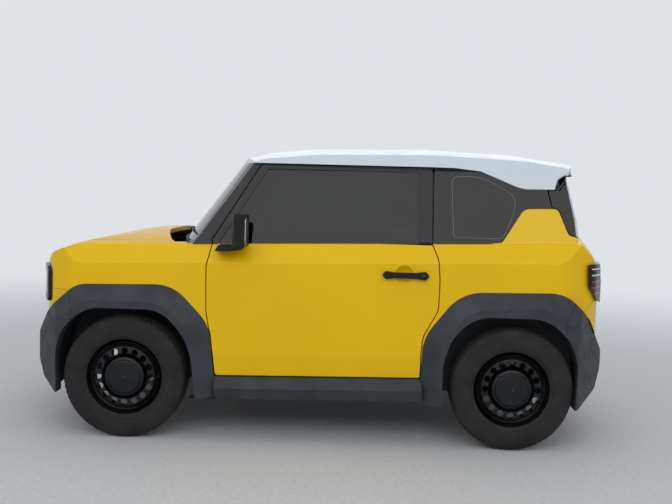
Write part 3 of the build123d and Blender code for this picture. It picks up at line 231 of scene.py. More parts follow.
yellow_paint = paint("yellow_paint_look", yellow, yellow_faded, 0.2)
white_paint = paint("white_paint_look", roof_white, roof_grey, 0.2)
gloss_black = paint("gloss_black_look", trim_black, (0.009, 0.009, 0.010), 0.25)
grained_plastic = moulded("grained_plastic_look", plastic_dark, plastic_pale, 0.62)
cabin_plastic = moulded("cabin_plastic_look", (0.018, 0.018, 0.020), (0.030, 0.030, 0.032), 0.55)
window_glass = tinted("window_glass_look", glass_tint)
lamp_glass = tinted("lamp_glass_look", (0.42, 0.44, 0.46))
red_lens = shader("red_lens_look", lamp_red, 0.12, specular=0.2)
tone(red_lens, grain(red_lens, 30.0), (0.006, 0.0014, 0.0016), lamp_red)
raise_surface(red_lens, grain(red_lens, 160.0, 1.0), 0.0002, 0.3)
red_guide = shader("red_guide_look", (0.30, 0.010, 0.012), 0.25, coat=0.3)
tone(red_guide, grain(red_guide, 40.0), (0.24, 0.008, 0.010), (0.34, 0.012, 0.014))
rubber = moulded("rubber_look", rubber_dark, rubber_dusty, 0.78, 260.0, 0.0004)
rim_paint = shader("rim_paint_look", (0.005, 0.006, 0.007), 0.38, coat=0.1, coat_roughness=0.2, specular=0.25)
tone(rim_paint, grain(rim_paint, 12.0), (0.003, 0.0038, 0.0050), (0.006, 0.0068, 0.0080))
raise_surface(rim_paint, grain(rim_paint, 300.0), 0.0001, 0.5)
chassis = moulded("chassis_look", (0.018, 0.018, 0.018), (0.040, 0.037, 0.034), 0.5, 180.0)
body_steel = moulded("body_steel_look", (0.030, 0.030, 0.031), (0.048, 0.047, 0.046), 0.5, 240.0)
cast = shader("cast_metal_look", steel_grey, 0.5, metallic=1.0)
tone(cast, grain(cast, 24.0), (0.28, 0.28, 0.29), steel_grey)
raise_surface(cast, grain(cast, 200.0), 0.0004, 0.8)
bare_steel = shader("bare_steel_look", steel_grey, 0.3, metallic=1.0)
roughen(bare_steel, grain(bare_steel, 120.0, 2.0, (1, 0.05, 1)), 0.22, 0.4)
screen = shader("screen_look", (0.004, 0.004, 0.005), 0.08, coat=0.6)
roughen(screen, grain(screen, 8.0), 0.06, 0.14)
satin_trim = moulded("satin_trim_look", (0.16, 0.17, 0.18), (0.22, 0.23, 0.24), 0.35, 300.0, 0.0001)
trim_gloss = moulded("trim_gloss_look", (0.008, 0.008, 0.009), (0.014, 0.014, 0.015), 0.3, 300.0, 0.0001)
mirror_face = shader("mirror_face_look", (0.78, 0.80, 0.82), 0.02, metallic=1.0)
roughen(mirror_face, grain(mirror_face, 30.0), 0.015, 0.035)
chrome = shader("chrome_look", (0.70, 0.71, 0.73), 0.08, metallic=1.0)
roughen(chrome, grain(chrome, 60.0), 0.05, 0.14)
lamp_white = moulded("lamp_white_look", (0.62, 0.64, 0.66), (0.74, 0.75, 0.76), 0.3, 160.0, 0.0004)
plate_white = moulded("plate_white_look", (0.58, 0.58, 0.57), (0.68, 0.68, 0.67), 0.4, 240.0, 0.0001)
cloth = moulded("seat_cloth_look", cloth_dark, cloth_pale, 0.85, 900.0, 0.0005)

looks = {
    "yellow_paint": yellow_paint,
    "white_paint": white_paint,
    "gloss_black": gloss_black,
    "dark_plastic": grained_plastic,
    "tinted_glass": window_glass,
    "headlamp_lens": lamp_glass,
    "tail_lamp_lens": red_lens,
    "frame_paint": body_steel,
    "battery_case": body_steel,
    "chassis_black": chassis,
    "cast_metal": cast,
    "bare_steel": bare_steel,
    "tyre_rubber": rubber,
    "rim_black": rim_paint,
    "cabin_plastic": cabin_plastic,
    "screen_glass": screen,
    "seat_fabric": cloth,
}


def dress(node, look):
    target = nodes[node]
    target.data.materials.clear()
    target.data.materials.append(look)


for part in frame["record"]["subparts"]:
    dress(part["node"], looks[part["material_slot"]])


side_lined_paint = lined_paint("side_lined_paint_look", "Y", 0.62)
tail_lined_paint = lined_paint("tail_lined_paint_look", "X", 1.40)
for lined_node in ("left_door_panel", "right_door_panel", "quarter_panels"):
    dress(lined_node, side_lined_paint)
dress("tailgate_panel", tail_lined_paint)


# Pieces


def piece(name, points, faces, look, body, smooth=True):
    mesh = bpy.data.meshes.new(name)
    mesh.from_pydata([tuple(point) for point in points], [], faces)
    shape = bmesh.new()
    shape.from_mesh(mesh)
    bmesh.ops.recalc_face_normals(shape, faces=shape.faces)
    shape.to_mesh(mesh)
    shape.free()
    for face in mesh.polygons:
        face.use_smooth = smooth
    mesh.materials.append(look)
    made = bpy.data.objects.new(name, mesh)
    bpy.context.scene.collection.objects.link(made)
    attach(made, body)
    return made


def harden(made, angle=35):
    """Smooth faces with sharp edges where they turn by more than an angle."""
    shape = bmesh.new()
    shape.from_mesh(made.data)
    for edge in shape.edges:
        edge.smooth = edge.calc_face_angle(0) < math.radians(angle)
    shape.to_mesh(made.data)
    shape.free()
    return made


def loop_faces(rings, count, closed=True):
    """Quads between rings of count points, one ring after another."""
    faces = []
    for ring in range(rings - 1):
        for step in range(count if closed else count - 1):
            turn = (step + 1) % count
            faces.append(
                (
                    ring * count + step,
                    ring * count + turn,
                    (ring + 1) * count + turn,
                    (ring + 1) * count + step,
                )
            )
    return faces


def tube(name, points, radius, look, body, sides=12):
    points = [Vector(point) for point in points]
    rings = []
    across = None
    for index, point in enumerate(points):
        before = points[max(index - 1, 0)]
        after = points[min(index + 1, len(points) - 1)]
        along = (after - before).normalized()
        if across is None:
            across = along.orthogonal().normalized()
        across = (across - along * across.dot(along)).normalized()
        other = along.cross(across)
        for step in range(sides):
            turn = 2 * math.pi * step / sides
            rings.append(point + radius * (math.cos(turn) * across + math.sin(turn) * other))
    faces = loop_faces(len(points), sides)
    faces.append(tuple(range(sides)))
    faces.append(tuple(range(len(rings) - sides, len(rings))))
    return harden(piece(name, rings, faces, look, body), 50)


def turned(name, rows, centre, side, look, body, steps=64):
    """Rows of (radius, y outward) turned about a line across the car; radius 0 closes an end."""
    points = []
    for radius, outward in rows:
        for step in range(steps):
            turn = 2 * math.pi * step / steps
            points.append(
                (
                    centre[0] + max(radius, 0.0004) * math.cos(turn),
                    side * outward,
                    centre[1] + max(radius, 0.0004) * math.sin(turn),
                )
            )
    faces = loop_faces(len(rows), steps)
    for end in (0, (len(rows) - 1) * steps):
        if rows[end // steps][0] <= 0.0004:
            faces.append(tuple(range(end, end + steps)))
    return harden(piece(name, points, faces, look, body))


def rounded_plate(
    name, centre, width_dir, height_dir, size, thickness, radius, look, body
):
    """A plate with rounded corners and a bevelled front edge, from its centre."""
    centre = Vector(centre)
    width_dir = Vector(width_dir).normalized()
    height_dir = Vector(height_dir).normalized()
    out = width_dir.cross(height_dir)
    half_width, half_height = size[0] / 2, size[1] / 2
    bevel = min(radius, thickness) * 0.5
    points = []
    for inset, level in ((0, 0), (0, thickness - bevel), (bevel, thickness)):
        for quarter, (sx, sy) in enumerate(((1, 1), (-1, 1), (-1, -1), (1, -1))):
            for step in range(7):
                turn = math.pi / 2 * (quarter + step / 6)
                x = sx * (half_width - radius) + (radius - inset) * math.cos(turn)
                y = sy * (half_height - radius) + (radius - inset) * math.sin(turn)
                points.append(centre + x * width_dir + y * height_dir + level * out)
    faces = loop_faces(3, 28)
    faces.append(tuple(range(28)))
    faces.append(tuple(range(56, 84)))
    return harden(piece(name, points, faces, look, body), 30)


surfaces = {}
outside_y = 1.2
inside_y = 0.30
strip_buried = 0.002


def touch(node, origin, direction):
    """Where a ray first meets a CAD node, and the surface's direction there."""
    if node not in surfaces:
        mesh = nodes[node].data
        surfaces[node] = BVHTree.FromPolygons(
            [vertex.co for vertex in mesh.vertices], [tuple(face.vertices) for face in mesh.polygons]
        )
    place_hit, normal, _, _ = surfaces[node].ray_cast(Vector(origin), Vector(direction))
    if place_hit is None:
        return None, None
    return place_hit, normal if normal.dot(Vector(direction)) < 0 else -normal


def strip(name, node_list, line, side, width, proud, look, body):
    """A thin moulding laid on the side of the car along a line of (x, z)."""
    profile = [(-0.5, -strip_buried), (-0.5, proud * 0.6), (-0.2, proud)]
    profile += [(-up, out) for up, out in reversed(profile)]
    points = []
    for x, z in line:
        found = [touch(node, (x, side * outside_y, z), (0, -side, 0))[0] for node in node_list]
        reach = max((side * hit.y for hit in found if hit is not None), default=None)
        if reach is None:
            continue
        for up, out in profile:
            points.append((x, side * (reach + out), z + up * width))
    count = len(points) // 6
    faces = loop_faces(count, 6)
    faces.append(tuple(range(6)))
    faces.append(tuple(range(len(points) - 6, len(points))))
    return piece(name, points, faces, look, body)


# Road tyres with tread blocks and ringed side walls
tread_pitches = 66
tread_steps = (0.0, 0.10, 0.17, 0.42, 0.67, 0.92)
groove_depth = 0.0062
groove_centres = (0.042, 0.014)


def tyre_section():
    """Half of the outer wall, as (distance from the middle of the tread, radius, part)."""
    rows = [(0.0715, 0.2035, "wall"), (0.0790, 0.2150, "wall"), (0.0815, 0.2185, "wall")]
    rows += [(0.0835, 0.2200, "wall"), (0.0840, 0.2260, "wall"), (0.0825, 0.2275, "wall")]
    rows += [(0.0843, 0.2340, "wall"), (0.0857, 0.2440, "wall"), (0.0863, 0.2505, "wall")]
    rows += [(0.0872, 0.2512, "wall"), (0.0872, 0.2530, "wall"), (0.0865, 0.2538, "wall")]
    rows += [(0.0868, 0.2660, "wall"), (0.0862, 0.2790, "wall"), (0.0851, 0.2860, "wall")]
    rows += [(0.0858, 0.2868, "wall"), (0.0855, 0.2885, "wall"), (0.0846, 0.2892, "wall")]
    rows += [(0.0832, 0.2990, "wall"), (0.0806, 0.3080, "shoulder"), (0.0760, 0.3165, "shoulder")]
    rows += [(0.0700, 0.3228, "shoulder"), (0.0625, 0.3268, "block"), (0.0530, 0.3288, "block")]
    for centre in groove_centres:
        crown = 0.3293 + 0.0012 * (1 - centre / groove_centres[0])
        rows += [(centre + 0.0048, crown, "block"), (centre + 0.0034, crown - groove_depth, "groove")]
        rows += [(centre - 0.0034, crown - groove_depth, "groove"), (centre - 0.0048, crown, "block")]
        rows += [(centre - 0.0140, crown + 0.0003, "rib")]
    return rows


def road_tyre(name, axle_x, side):
    """A hollow tyre with ribs in the middle and blocks cut into its shoulders."""
    half = tyre_section()
    section = half + [(-offset, radius, part) for offset, radius, part in reversed(half[:-1])]
    section += [(-0.0630, 0.2290, "wall"), (-0.0650, 0.3010, "wall"), (-0.0470, 0.3140, "wall")]
    section += [(0.0470, 0.3140, "wall"), (0.0650, 0.3010, "wall"), (0.0630, 0.2290, "wall")]
    middle = tyre_outer_y - tyre_width / 2
    points = []
    for pitch in range(tread_pitches):
        for step, share in enumerate(tread_steps):
            turn = 2 * math.pi * (pitch + share) / tread_pitches
            cut = step in (0, 1)
            sipe = step == 3
            for offset, radius, part in section:
                angle = turn + side * 0.55 * offset
                depth = 0.0
                if part == "shoulder" and cut:
                    depth = 0.0030
                if part == "block" and abs(offset) > 0.05 and cut:
                    depth = 0.0052
                if part == "block" and abs(offset) > 0.05 and sipe:
                    depth = 0.0006
                reach = radius - depth
                points.append(
                    (
                        axle_x + reach * math.cos(angle),
                        side * (middle + offset),
                        tyre_radius + reach * math.sin(angle),
                    )
                )
    count = len(section)
    rings = tread_pitches * len(tread_steps)
    faces = loop_faces(rings, count)
    last = (rings - 1) * count
    faces += [(last + i, last + (i + 1) % count, (i + 1) % count, i) for i in range(count)]
    return piece(name, points, faces, rubber, "car_body")


# Valves and cap clips, as rows of (radius, y outward)
valve_rows = [(0, 0.789), (0.0032, 0.789), (0.0036, 0.776), (0.0052, 0.770), (0.0056, 0.758), (0, 0.756)]
valve_offset = (0.176, 0.004)
cap_clip_rows = [(0, 0.8012), (0.0042, 0.8010), (0.0050, 0.8000), (0.0050, 0.7975), (0, 0.7970)]
cap_clip_ring = 0.0955
cap_clip_count = 4

for side_name, side in car_sides:
    for end_name, axle_x in (("front", front_axle_x), ("rear", rear_axle_x)):
        wheel = side_name + "_" + end_name
        made = road_tyre(wheel + "_road_tyre", axle_x, side)
        harden(made, 38)
        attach(made, wheel + "_wheel")
        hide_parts(wheel + "_tyre")
        turned(
            wheel + "_valve",
            valve_rows,
            (axle_x + valve_offset[0], tyre_radius + valve_offset[1]),
            side,
            rubber,
            wheel + "_wheel",
            16,
        )
        for clip in range(cap_clip_count):
            turn = math.radians(45) + 2 * math.pi * clip / cap_clip_count
            turned(
                wheel + "_cap_clip_" + str(clip + 1),
                cap_clip_rows,
                (axle_x + cap_clip_ring * math.cos(turn), tyre_radius + cap_clip_ring * math.sin(turn)),
                side,
                rim_paint,
                wheel + "_wheel",
                12,
            )


# Padded seats and bench
def smooth_outline(rows, rounds=3):
    """A closed outline with its corners cut round."""
    for _ in range(rounds):
        cut = []
        for index, here in enumerate(rows):
            after = rows[(index + 1) % len(rows)]
            cut.append(tuple(0.75 * a + 0.25 * b for a, b in zip(here, after)))
            cut.append(tuple(0.25 * a + 0.75 * b for a, b in zip(here, after)))
        rows = cut
    return rows


def pad_form(name, rows, middle_y, half_width, bolster=None, tuck=0.16, stations=25):
    """A closed form with an outline in side view, drawn in towards both sides."""
    outline = smooth_outline(rows)
    centre_x = sum(x for x, _ in outline) / len(outline)
    centre_z = sum(z for _, z in outline) / len(outline)
    points = []
    for station in range(stations):
        share = -math.cos(math.pi * station / (stations - 1))
        draw = 1 - tuck * abs(share) ** 5 if abs(share) < 0.999 else 0.62
        for x, z in outline:
            point = Vector((centre_x + (x - centre_x) * draw, 0, centre_z + (z - centre_z) * draw))
            point.y = middle_y + share * half_width
            if bolster:
                point += bolster(share, point)
            points.append(point)
    count = len(outline)
    faces = loop_faces(stations, count)
    faces.append(tuple(range(count)))
    faces.append(tuple(range((stations - 1) * count, stations * count)))
    return piece(name, points, faces, cloth, "car_body")


def plump(made, voxel=0.010, most=0.009, pressure=4.0):
    """Swell a pad as stuffed cloth, no further than a set distance."""
    remesh = made.modifiers.new("remesh", "REMESH")
    remesh.mode = "VOXEL"
    remesh.voxel_size = voxel
    remesh.use_smooth_shade = True
    apply_modifiers(made)
    before = np.empty(len(made.data.vertices) * 3)
    made.data.vertices.foreach_get("co", before)
    soft = made.modifiers.new("cloth", "CLOTH")
    soft.settings.use_pressure = True
    soft.settings.uniform_pressure_force = pressure
    soft.settings.effector_weights.gravity = 0
    soft.settings.quality = 4
    soft.collision_settings.use_collision = False
    soft.point_cache.frame_start = 1
    soft.point_cache.frame_end = 20
    for step in range(1, 21):
        bpy.context.scene.frame_set(step)
    apply_modifiers(made)
    bpy.context.scene.frame_set(1)
    after = np.empty(len(made.data.vertices) * 3)
    made.data.vertices.foreach_get("co", after)
    moved = (after - before).reshape(-1, 3)
    reach = np.linalg.norm(moved, axis=1, keepdims=True)
    moved *= np.minimum(1.0, most / np.maximum(reach, 1e-9))
    made.data.vertices.foreach_set("co", (before.reshape(-1, 3) + moved).ravel())
    finer = made.modifiers.new("finer", "SUBSURF")
    finer.levels = 1
    finer.render_levels = 1
    apply_modifiers(made)
    for face in made.data.polygons:
        face.use_smooth = True
    return made


def apply_modifiers(made):
    bpy.context.view_layer.update()
    shown = made.evaluated_get(bpy.context.evaluated_depsgraph_get())
    mesh = bpy.data.meshes.new_from_object(shown)
    made.modifiers.clear()
    made.data = mesh


def stitch(made, seams, depth=0.0045, spread=0.0055):
    """Draw the surface in along seams; each seam gives a point's distance from it."""
    mesh = made.data
    count = len(mesh.vertices)
    places = np.empty(count * 3)
    mesh.vertices.foreach_get("co", places)
    places = places.reshape(-1, 3)
    normals = np.empty(count * 3)
    mesh.vertices.foreach_get("normal", normals)
    normals = normals.reshape(-1, 3)
    pull = np.zeros(count)
    for seam in seams:
        pull = np.maximum(pull, np.exp(-((seam(places) / spread) ** 2)))
    mesh.vertices.foreach_set("co", (places - normals * (depth * pull)[:, None]).ravel())
    mesh.update()
    return made


def mirrored(made, name):
    mesh = made.data.copy()
    mesh.transform(Matrix.Scale(-1, 4, (0, 1, 0)))
    mesh.flip_normals()
    other = bpy.data.objects.new(name, mesh)
    bpy.context.scene.collection.objects.link(other)
    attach(other, "car_body")
    return other


seat_y = 0.350
seat_seam_y = 0.148
bench_seam_y = 0.40
bench_half_width = 0.549
cushion_rows = [(-0.248, 0.476), (-0.252, 0.572), (-0.06, 0.566), (0.190, 0.545), (0.196, 0.452)]
back_rows = [(0.176, 0.545), (0.222, 0.482), (0.292, 0.484), (0.416, 1.088), (0.340, 1.110), (0.262, 0.83)]
rest_rows = [(0.380, 1.142), (0.394, 1.298), (0.458, 1.290), (0.444, 1.136)]


def cushion_side(share, point):
    """Raised sides of a seat cushion."""
    rise = max(0.0, abs(share) - 0.55) / 0.45
    return Vector((0, 0, 0.022 * math.sin(min(rise, 1) * math.pi * 0.62) if point.z > 0.53 else 0))


def back_side(share, point):
    """Sides of a seat back that come forward."""
    rise = max(0.0, abs(share) - 0.5) / 0.5
    forward = 0.030 * math.sin(min(rise, 1) * math.pi * 0.62)
    return Vector((-forward if point.x < 0.20 + (point.z - 0.5) * 0.22 + 0.03 else 0, 0, 0))


def seam_along(line_y):
    """Distance from a seam that runs along a pad."""
    return lambda p: p[:, 1] - line_y


def seam_across(axis, place_at, middle_y, half_width):
    """Distance from a seam that runs across a pad, between its two long seams."""
    return lambda p: np.where(abs(p[:, 1] - middle_y) < half_width, p[:, axis] - place_at, 1)


def seam_round_rest(p):
    """Distance from the seam round the edge of a head rest."""
    return p[:, 0] - 0.419 - (p[:, 2] - 1.22) * 0.08


# Pads as name, outline, half width, bolster, voxel, and the axis and places of the cross seams
seat_pads = [
    ("seat_cushion", cushion_rows, 0.236, cushion_side, 0.010, 0, (-0.155, -0.065, 0.025)),
    ("seat_back", back_rows, 0.234, back_side, 0.010, 2, (0.66, 0.76, 0.86, 0.96)),
    ("head_rest", rest_rows, 0.126, None, 0.008, 0, ()),
]
for pad_name, rows, half_width, bolster, voxel, seam_axis, seam_places in seat_pads:
    right_pad = plump(pad_form("right_" + pad_name, rows, seat_y, half_width, bolster), voxel)
    if pad_name == "head_rest":
        seams = [seam_round_rest]
    else:
        seams = [seam_along(seat_y - seat_seam_y), seam_along(seat_y + seat_seam_y)]
    seams += [seam_across(seam_axis, place_at, seat_y, seat_seam_y) for place_at in seam_places]
    stitch(right_pad, seams)
    left_pad = mirrored(right_pad, "left_" + pad_name)
    for pad in (left_pad, right_pad):
        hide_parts("front_seats")

# Head-rest posts, rails and legs under the seats, as rows of (x, z)
post_rows = [(0.392, 1.07), (0.402, 1.11), (0.411, 1.16)]
post_spread = 0.06
runner_spread = 0.18
seat_frame_tubes = [
    ("_seat_rail", [(-0.20, 0.365), (-0.17, 0.365), (0.24, 0.365)], 0.0148, 8),
    ("_front_leg", [(-0.16, 0.372), (-0.13, 0.40), (-0.10, 0.485)], 0.014, 10),
    ("_rear_leg", [(0.20, 0.372), (0.215, 0.42), (0.235, 0.52)], 0.014, 10),
]


def upright(rows, y):
    """Rows of (x, z) as points at one distance from the middle of the car."""
    return [(x, y, z) for x, z in rows]


for side_name, side in car_sides:
    for post in (-post_spread, post_spread):
        post_name = side_name + ("_inner" if post * side < 0 else "_outer") + "_rest_post"
        tube(post_name, upright(post_rows, side * seat_y + post), 0.006, bare_steel, "car_body")
    for runner in (-runner_spread, runner_spread):
        runner_name = side_name + ("_near" if runner < 0 else "_far")
        for tube_name, rows, radius, tube_sides in seat_frame_tubes:
            line = upright(rows, side * seat_y + runner)
            tube(runner_name + tube_name, line, radius, chassis, "car_body", tube_sides)
    rounded_plate(
        side_name + "_seat_pan",
        (0.0, side * seat_y, 0.455),
        (1, 0, 0),
        (0, 1, 0),
        (0.40, 0.42),
        0.022,
        0.03,
        chassis,
        "car_body",
    )

# Rear bench, one pad for the seat and one for the back
bench_rows = [(0.614, 0.506), (0.616, 0.585), (0.80, 0.578), (1.000, 0.558), (1.004, 0.476), (0.640, 0.476)]
bench_back_rows = [(0.968, 0.585), (1.012, 0.480), (1.080, 0.480)]
bench_back_rows += [(1.168, 1.000), (1.100, 1.008), (1.010, 0.74)]
bench_pads = [
    ("bench_cushion", bench_rows, 0, (0.78,)),
    ("bench_back", bench_back_rows, 2, (0.72, 0.86)),
]
for pad_name, rows, seam_axis, seam_places in bench_pads:
    pad = plump(pad_form(pad_name, rows, 0.0, bench_half_width, None, 0.12, 41), 0.012)
    seams = [seam_along(line_y) for line_y in (0.0, bench_seam_y, -bench_seam_y)]
    seams += [seam_across(seam_axis, place_at, 0.0, bench_seam_y) for place_at in seam_places]
    stitch(pad, seams)
    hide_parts("rear_bench")

# Belt mouldings, mirror glass and door locks
belt_front = (-0.598, 1.056)
belt_rise = (1.093 - 1.056) / 1.176
belt_stations = [-0.560 + 1.126 * step / 40 for step in range(41)]
mirror_centre = (-0.4035, 0.881, 1.139)
mirror_size = (0.124, 0.136)
lock_centre = (0.533, 0.925)
lock_rows = [(0, 0.8155), (0.0085, 0.8155), (0.0100, 0.8145), (0.0100, 0.812), (0, 0.811)]


def belt_z(x):
    """Height of the windows' lower edge."""
    return belt_front[1] + (x - belt_front[0]) * belt_rise


for side_name, side in car_sides:
    door = side_name + "_door"
    strip(
        side_name + "_belt_moulding",
        [side_name + "_door_panel", side_name + "_door_frame"],
        [(x, belt_z(x) + 0.004) for x in belt_stations],
        side,
        0.012,
        0.0035,
        gloss_black,
        door,
    )
    rounded_plate(
        side_name + "_mirror_glass",
        (mirror_centre[0], side * mirror_centre[1], mirror_centre[2]),
        (0, 1, 0),
        (0, 0, 1),
        mirror_size,
        0.0022,
        0.024,
        mirror_face,
        door,
    )
    turned(
        side_name + "_door_lock",
        lock_rows,
        lock_centre,
        side,
        trim_gloss,
        door,
        24,
    )

# Door cards with arm rest and pocket, laid on the doors' inner faces
card_box = ((-0.40, 0.46), (0.480, 1.010))
card_columns, card_rows = 60, 40
arm_rest = ((-0.16, 0.38), (0.700, 0.752), 0.040)
door_pocket = ((-0.33, 0.26), (0.505, 0.600), 0.024)
card_thickness = 0.008
card_edge = 0.020
pull_start_x = -0.275
pull_length = 0.150
pull_z = 0.880
pull_stand = 0.020


def swell(place_at, low, high, soft):
    """One between low and high, falling smoothly to nothing outside them."""
    reach = min(max((place_at - low) / soft + 1, 0), max((high - place_at) / soft + 1, 0), 1)
    return reach * reach * (3 - 2 * reach)


def door_card(name, node, side, body):
    """A moulded card that follows a door's inner face, closed behind."""
    inner, behind = [], []
    (x_low, x_high), (z_low, z_high) = card_box
    for row in range(card_rows):
        for column in range(card_columns):
            x = x_low + (x_high - x_low) * column / (card_columns - 1)
            z = z_low + (z_high - z_low) * row / (card_rows - 1)
            hit, _ = touch(node, (x, side * inside_y, z), (0, side, 0))
            face_y = side * hit.y if hit is not None else side * inner[-1].y + card_thickness
            rise = card_thickness * swell(x, x_low + card_edge, x_high - card_edge, card_edge)
            rise *= swell(z, z_low + card_edge, z_high - card_edge, card_edge)
            for (x_from, x_to), (z_from, z_to), depth in (arm_rest, door_pocket):
                rise += depth * swell(x, x_from, x_to, 0.045) * swell(z, z_from, z_to, 0.018)
            inner.append(Vector((x, side * (face_y - rise - 0.0005), z)))
            behind.append(Vector((x, side * (face_y + 0.0008), z)))
    faces = loop_faces(card_rows, card_columns, closed=False)
    count = card_rows * card_columns
    faces += [tuple(count + corner for corner in reversed(face)) for face in faces]
    rim = list(range(card_columns))
    rim += [row * card_columns + card_columns - 1 for row in range(1, card_rows)]
    rim += [count - 1 - step for step in range(1, card_columns)]
    rim += [row * card_columns for row in range(card_rows - 2, 0, -1)]
    for here, after in zip(rim, rim[1:] + rim[:1]):
        faces.append((here, after, count + after, count + here))
    return harden(piece(name, inner + behind, faces, cabin_plastic, body), 50)


for side_name, side in car_sides:
    door = side_name + "_door"
    door_card(side_name + "_door_card", side_name + "_door_panel", side, door)
    hit, _ = touch(side_name + "_door_panel", (-0.20, side * inside_y, pull_z), (0, side, 0))
    pull = []
    for step in range(11):
        stand = card_thickness + pull_stand * math.sin(math.pi * step / 10)
        pull.append((pull_start_x + pull_length * step / 10, side * (abs(hit.y) - stand), pull_z))
    tube(side_name + "_door_pull", pull, 0.0055, chrome, door, 12)

# Seal lines let into the glass behind the doors
quarter_seal = [
    (0.704, 1.132),
    (0.692, 1.136),
    (0.690, 1.170),
    (0.683, 1.331),
    (0.679, 1.436),
    (0.692, 1.455),
    (0.768, 1.461),
    (0.828, 1.457),
    (0.893, 1.433),
    (1.002, 1.372),
    (1.020, 1.345),
    (1.021, 1.308),
    (1.003, 1.239),
    (0.966, 1.160),
    (0.952, 1.136),
    (0.930, 1.132),
]
seal_step = 0.012


def walked(rows, step):
    """Points along a closed outline, about a step apart."""
    places = []
    for index, here in enumerate(rows):
        after = rows[(index + 1) % len(rows)]
        count = max(1, round(math.dist(here, after) / step))
        for part in range(count):
            places.append([a + (b - a) * part / count for a, b in zip(here, after)])
    return places + [places[0]]


for side_name, side in car_sides:
    seal = []
    for x, z in walked(smooth_outline(quarter_seal, 2), seal_step):
        hit, _ = touch("quarter_windows", (x, side * outside_y, z), (0, -side, 0))
        if hit is not None:
            seal.append(hit + Vector((0, side * 0.0002, 0)))
    tube(side_name + "_quarter_seal", seal, 0.0013, satin_trim, "car_body", 6)

# Wipers, parked along the foot of the windscreen
screen_sweep_x = 1.250
screen_foot = (-0.806, 1.100)
screen_head = (-0.500, 1.517)


def on_screen(y, z, lift):
    """A point that far outside the windscreen's face."""
    share = (z - screen_foot[1]) / (screen_head[1] - screen_foot[1])
    face_x = screen_foot[0] + share * (screen_head[0] - screen_foot[0])
    lean = math.atan2(screen_head[0] - screen_foot[0], screen_head[1] - screen_foot[1])
    turn = math.asin(y / (screen_sweep_x - face_x))
    radius = screen_sweep_x - face_x + lift * math.cos(lean)
    return Vector(
        (screen_sweep_x - radius * math.cos(turn), radius * math.sin(turn), z + lift * math.sin(lean))
    )


def blade_line(start_y, end_y, lift):
    """A blade's slightly bowed line across the windscreen, that far off it."""
    line = []
    for step in range(17):
        bow = blade_bow * math.sin(math.pi * step / 16)
        line.append(on_screen(start_y + (end_y - start_y) * step / 16, blade_z + bow, lift))
    return line


# Each wiper as name, pivot y, and the y of its blade's two ends
blade_z = 1.104
blade_bow = 0.008
wipers = [("left", 0.02, -0.08, -0.60), ("right", 0.58, 0.52, 0.02)]
for wiper_name, pivot_y, start_y, end_y in wipers:
    lip = blade_line(start_y, end_y, 0.004)
    tube(wiper_name + "_wiper_lip", lip, 0.0028, rubber, "car_body", 8)
    spine = blade_line(start_y, end_y, 0.0105)
    tube(wiper_name + "_wiper_spine", spine, 0.0045, grained_plastic, "car_body", 10)
    pivot = on_screen(pivot_y, 1.060, 0.010)
    middle = on_screen((start_y + end_y) / 2, 1.112, 0.015)
    bend = on_screen(pivot_y + (start_y - pivot_y) * 0.8, 1.086, 0.018)
    arm = [
        pivot + Vector((0, 0, -0.02)),
        pivot + Vector((-0.004, 0, 0.012)),
        bend,
        (bend + middle) / 2 + Vector((-0.004, 0, 0.003)),
        middle,
    ]
    tube(wiper_name + "_wiper_arm", arm, 0.0062, grained_plastic, "car_body", 10)

# Headlamp insides: discs as name, offset, radius and look, all turned from one profile
lamp_z = 0.804
lamp_behind_lens = 0.020
lamp_steps = 48
lamp_profile = [(0.05, 0.0), (0.6, 0.002), (0.85, 0.0), (1.0, 0.006), (1.0, 0.012), (0.05, 0.012)]
lamp_discs = [
    ("lamp_ring", 0.0, 0.050, lamp_white),
    ("lamp_bowl", 0.003, 0.042, chrome),
    ("lamp_eye", -0.006, 0.026, lamp_white),
]
for side_name, side in car_sides:
    lamp_y = side * 0.510
    reach, _ = touch("headlamps", (-1.8, lamp_y, lamp_z), (1, 0, 0))
    lamp_x = reach.x + lamp_behind_lens
    for inner_name, offset, size, look in lamp_discs:
        rings = []
        for radius, depth in lamp_profile:
            for step in range(lamp_steps):
                turn = 2 * math.pi * step / lamp_steps
                rings.append(
                    (
                        lamp_x + offset + depth,
                        lamp_y + size * radius * math.cos(turn),
                        lamp_z + size * radius * math.sin(turn),
                    )
                )
        faces = loop_faces(len(lamp_profile), lamp_steps)
        faces += [tuple(range(lamp_steps)), tuple(range(len(rings) - lamp_steps, len(rings)))]
        piece(side_name + "_" + inner_name, rings, faces, look, "car_body")

# Light guides laid round the tail lamps, as name, height, radius and look; the pale top line among them is a
# painted highlight on the lamps' top edge, not a guide
tail_middle = (1.40, 0.56)
tail_inner_y = 0.53
tail_sweep_start = 12
tail_sweep = 76
tail_sweep_steps = 28
# The top line, in pale lamp white, is a painted highlight along the tail lamps' top edge
tail_guides = [("top_highlight", 0.984, 0.0035, lamp_white), ("bar", 0.950, 0.0050, chrome)]
tail_guides += [("red_" + str(row + 1), 0.915 - 0.032 * row, 0.0045, red_guide) for row in range(3)]
for side_name, side in car_sides:
    for guide_name, guide_z, thick, look in tail_guides:
        guide = []
        for step in range(tail_sweep_steps + 1):
            turn = math.radians(tail_sweep_start + tail_sweep * step / tail_sweep_steps)
            out = Vector((math.sin(turn), side * math.cos(turn), 0))
            middle = Vector((tail_middle[0], side * tail_middle[1], guide_z))
            hit, _ = touch("tail_lamps", middle + out, -out)
            if hit is not None and abs(hit.y) > tail_inner_y:
                guide.append(hit - out * thick * 0.4)
        if len(guide) > 3:
            tube(side_name + "_tail_guide_" + guide_name, guide, thick, look, "car_body", 8)

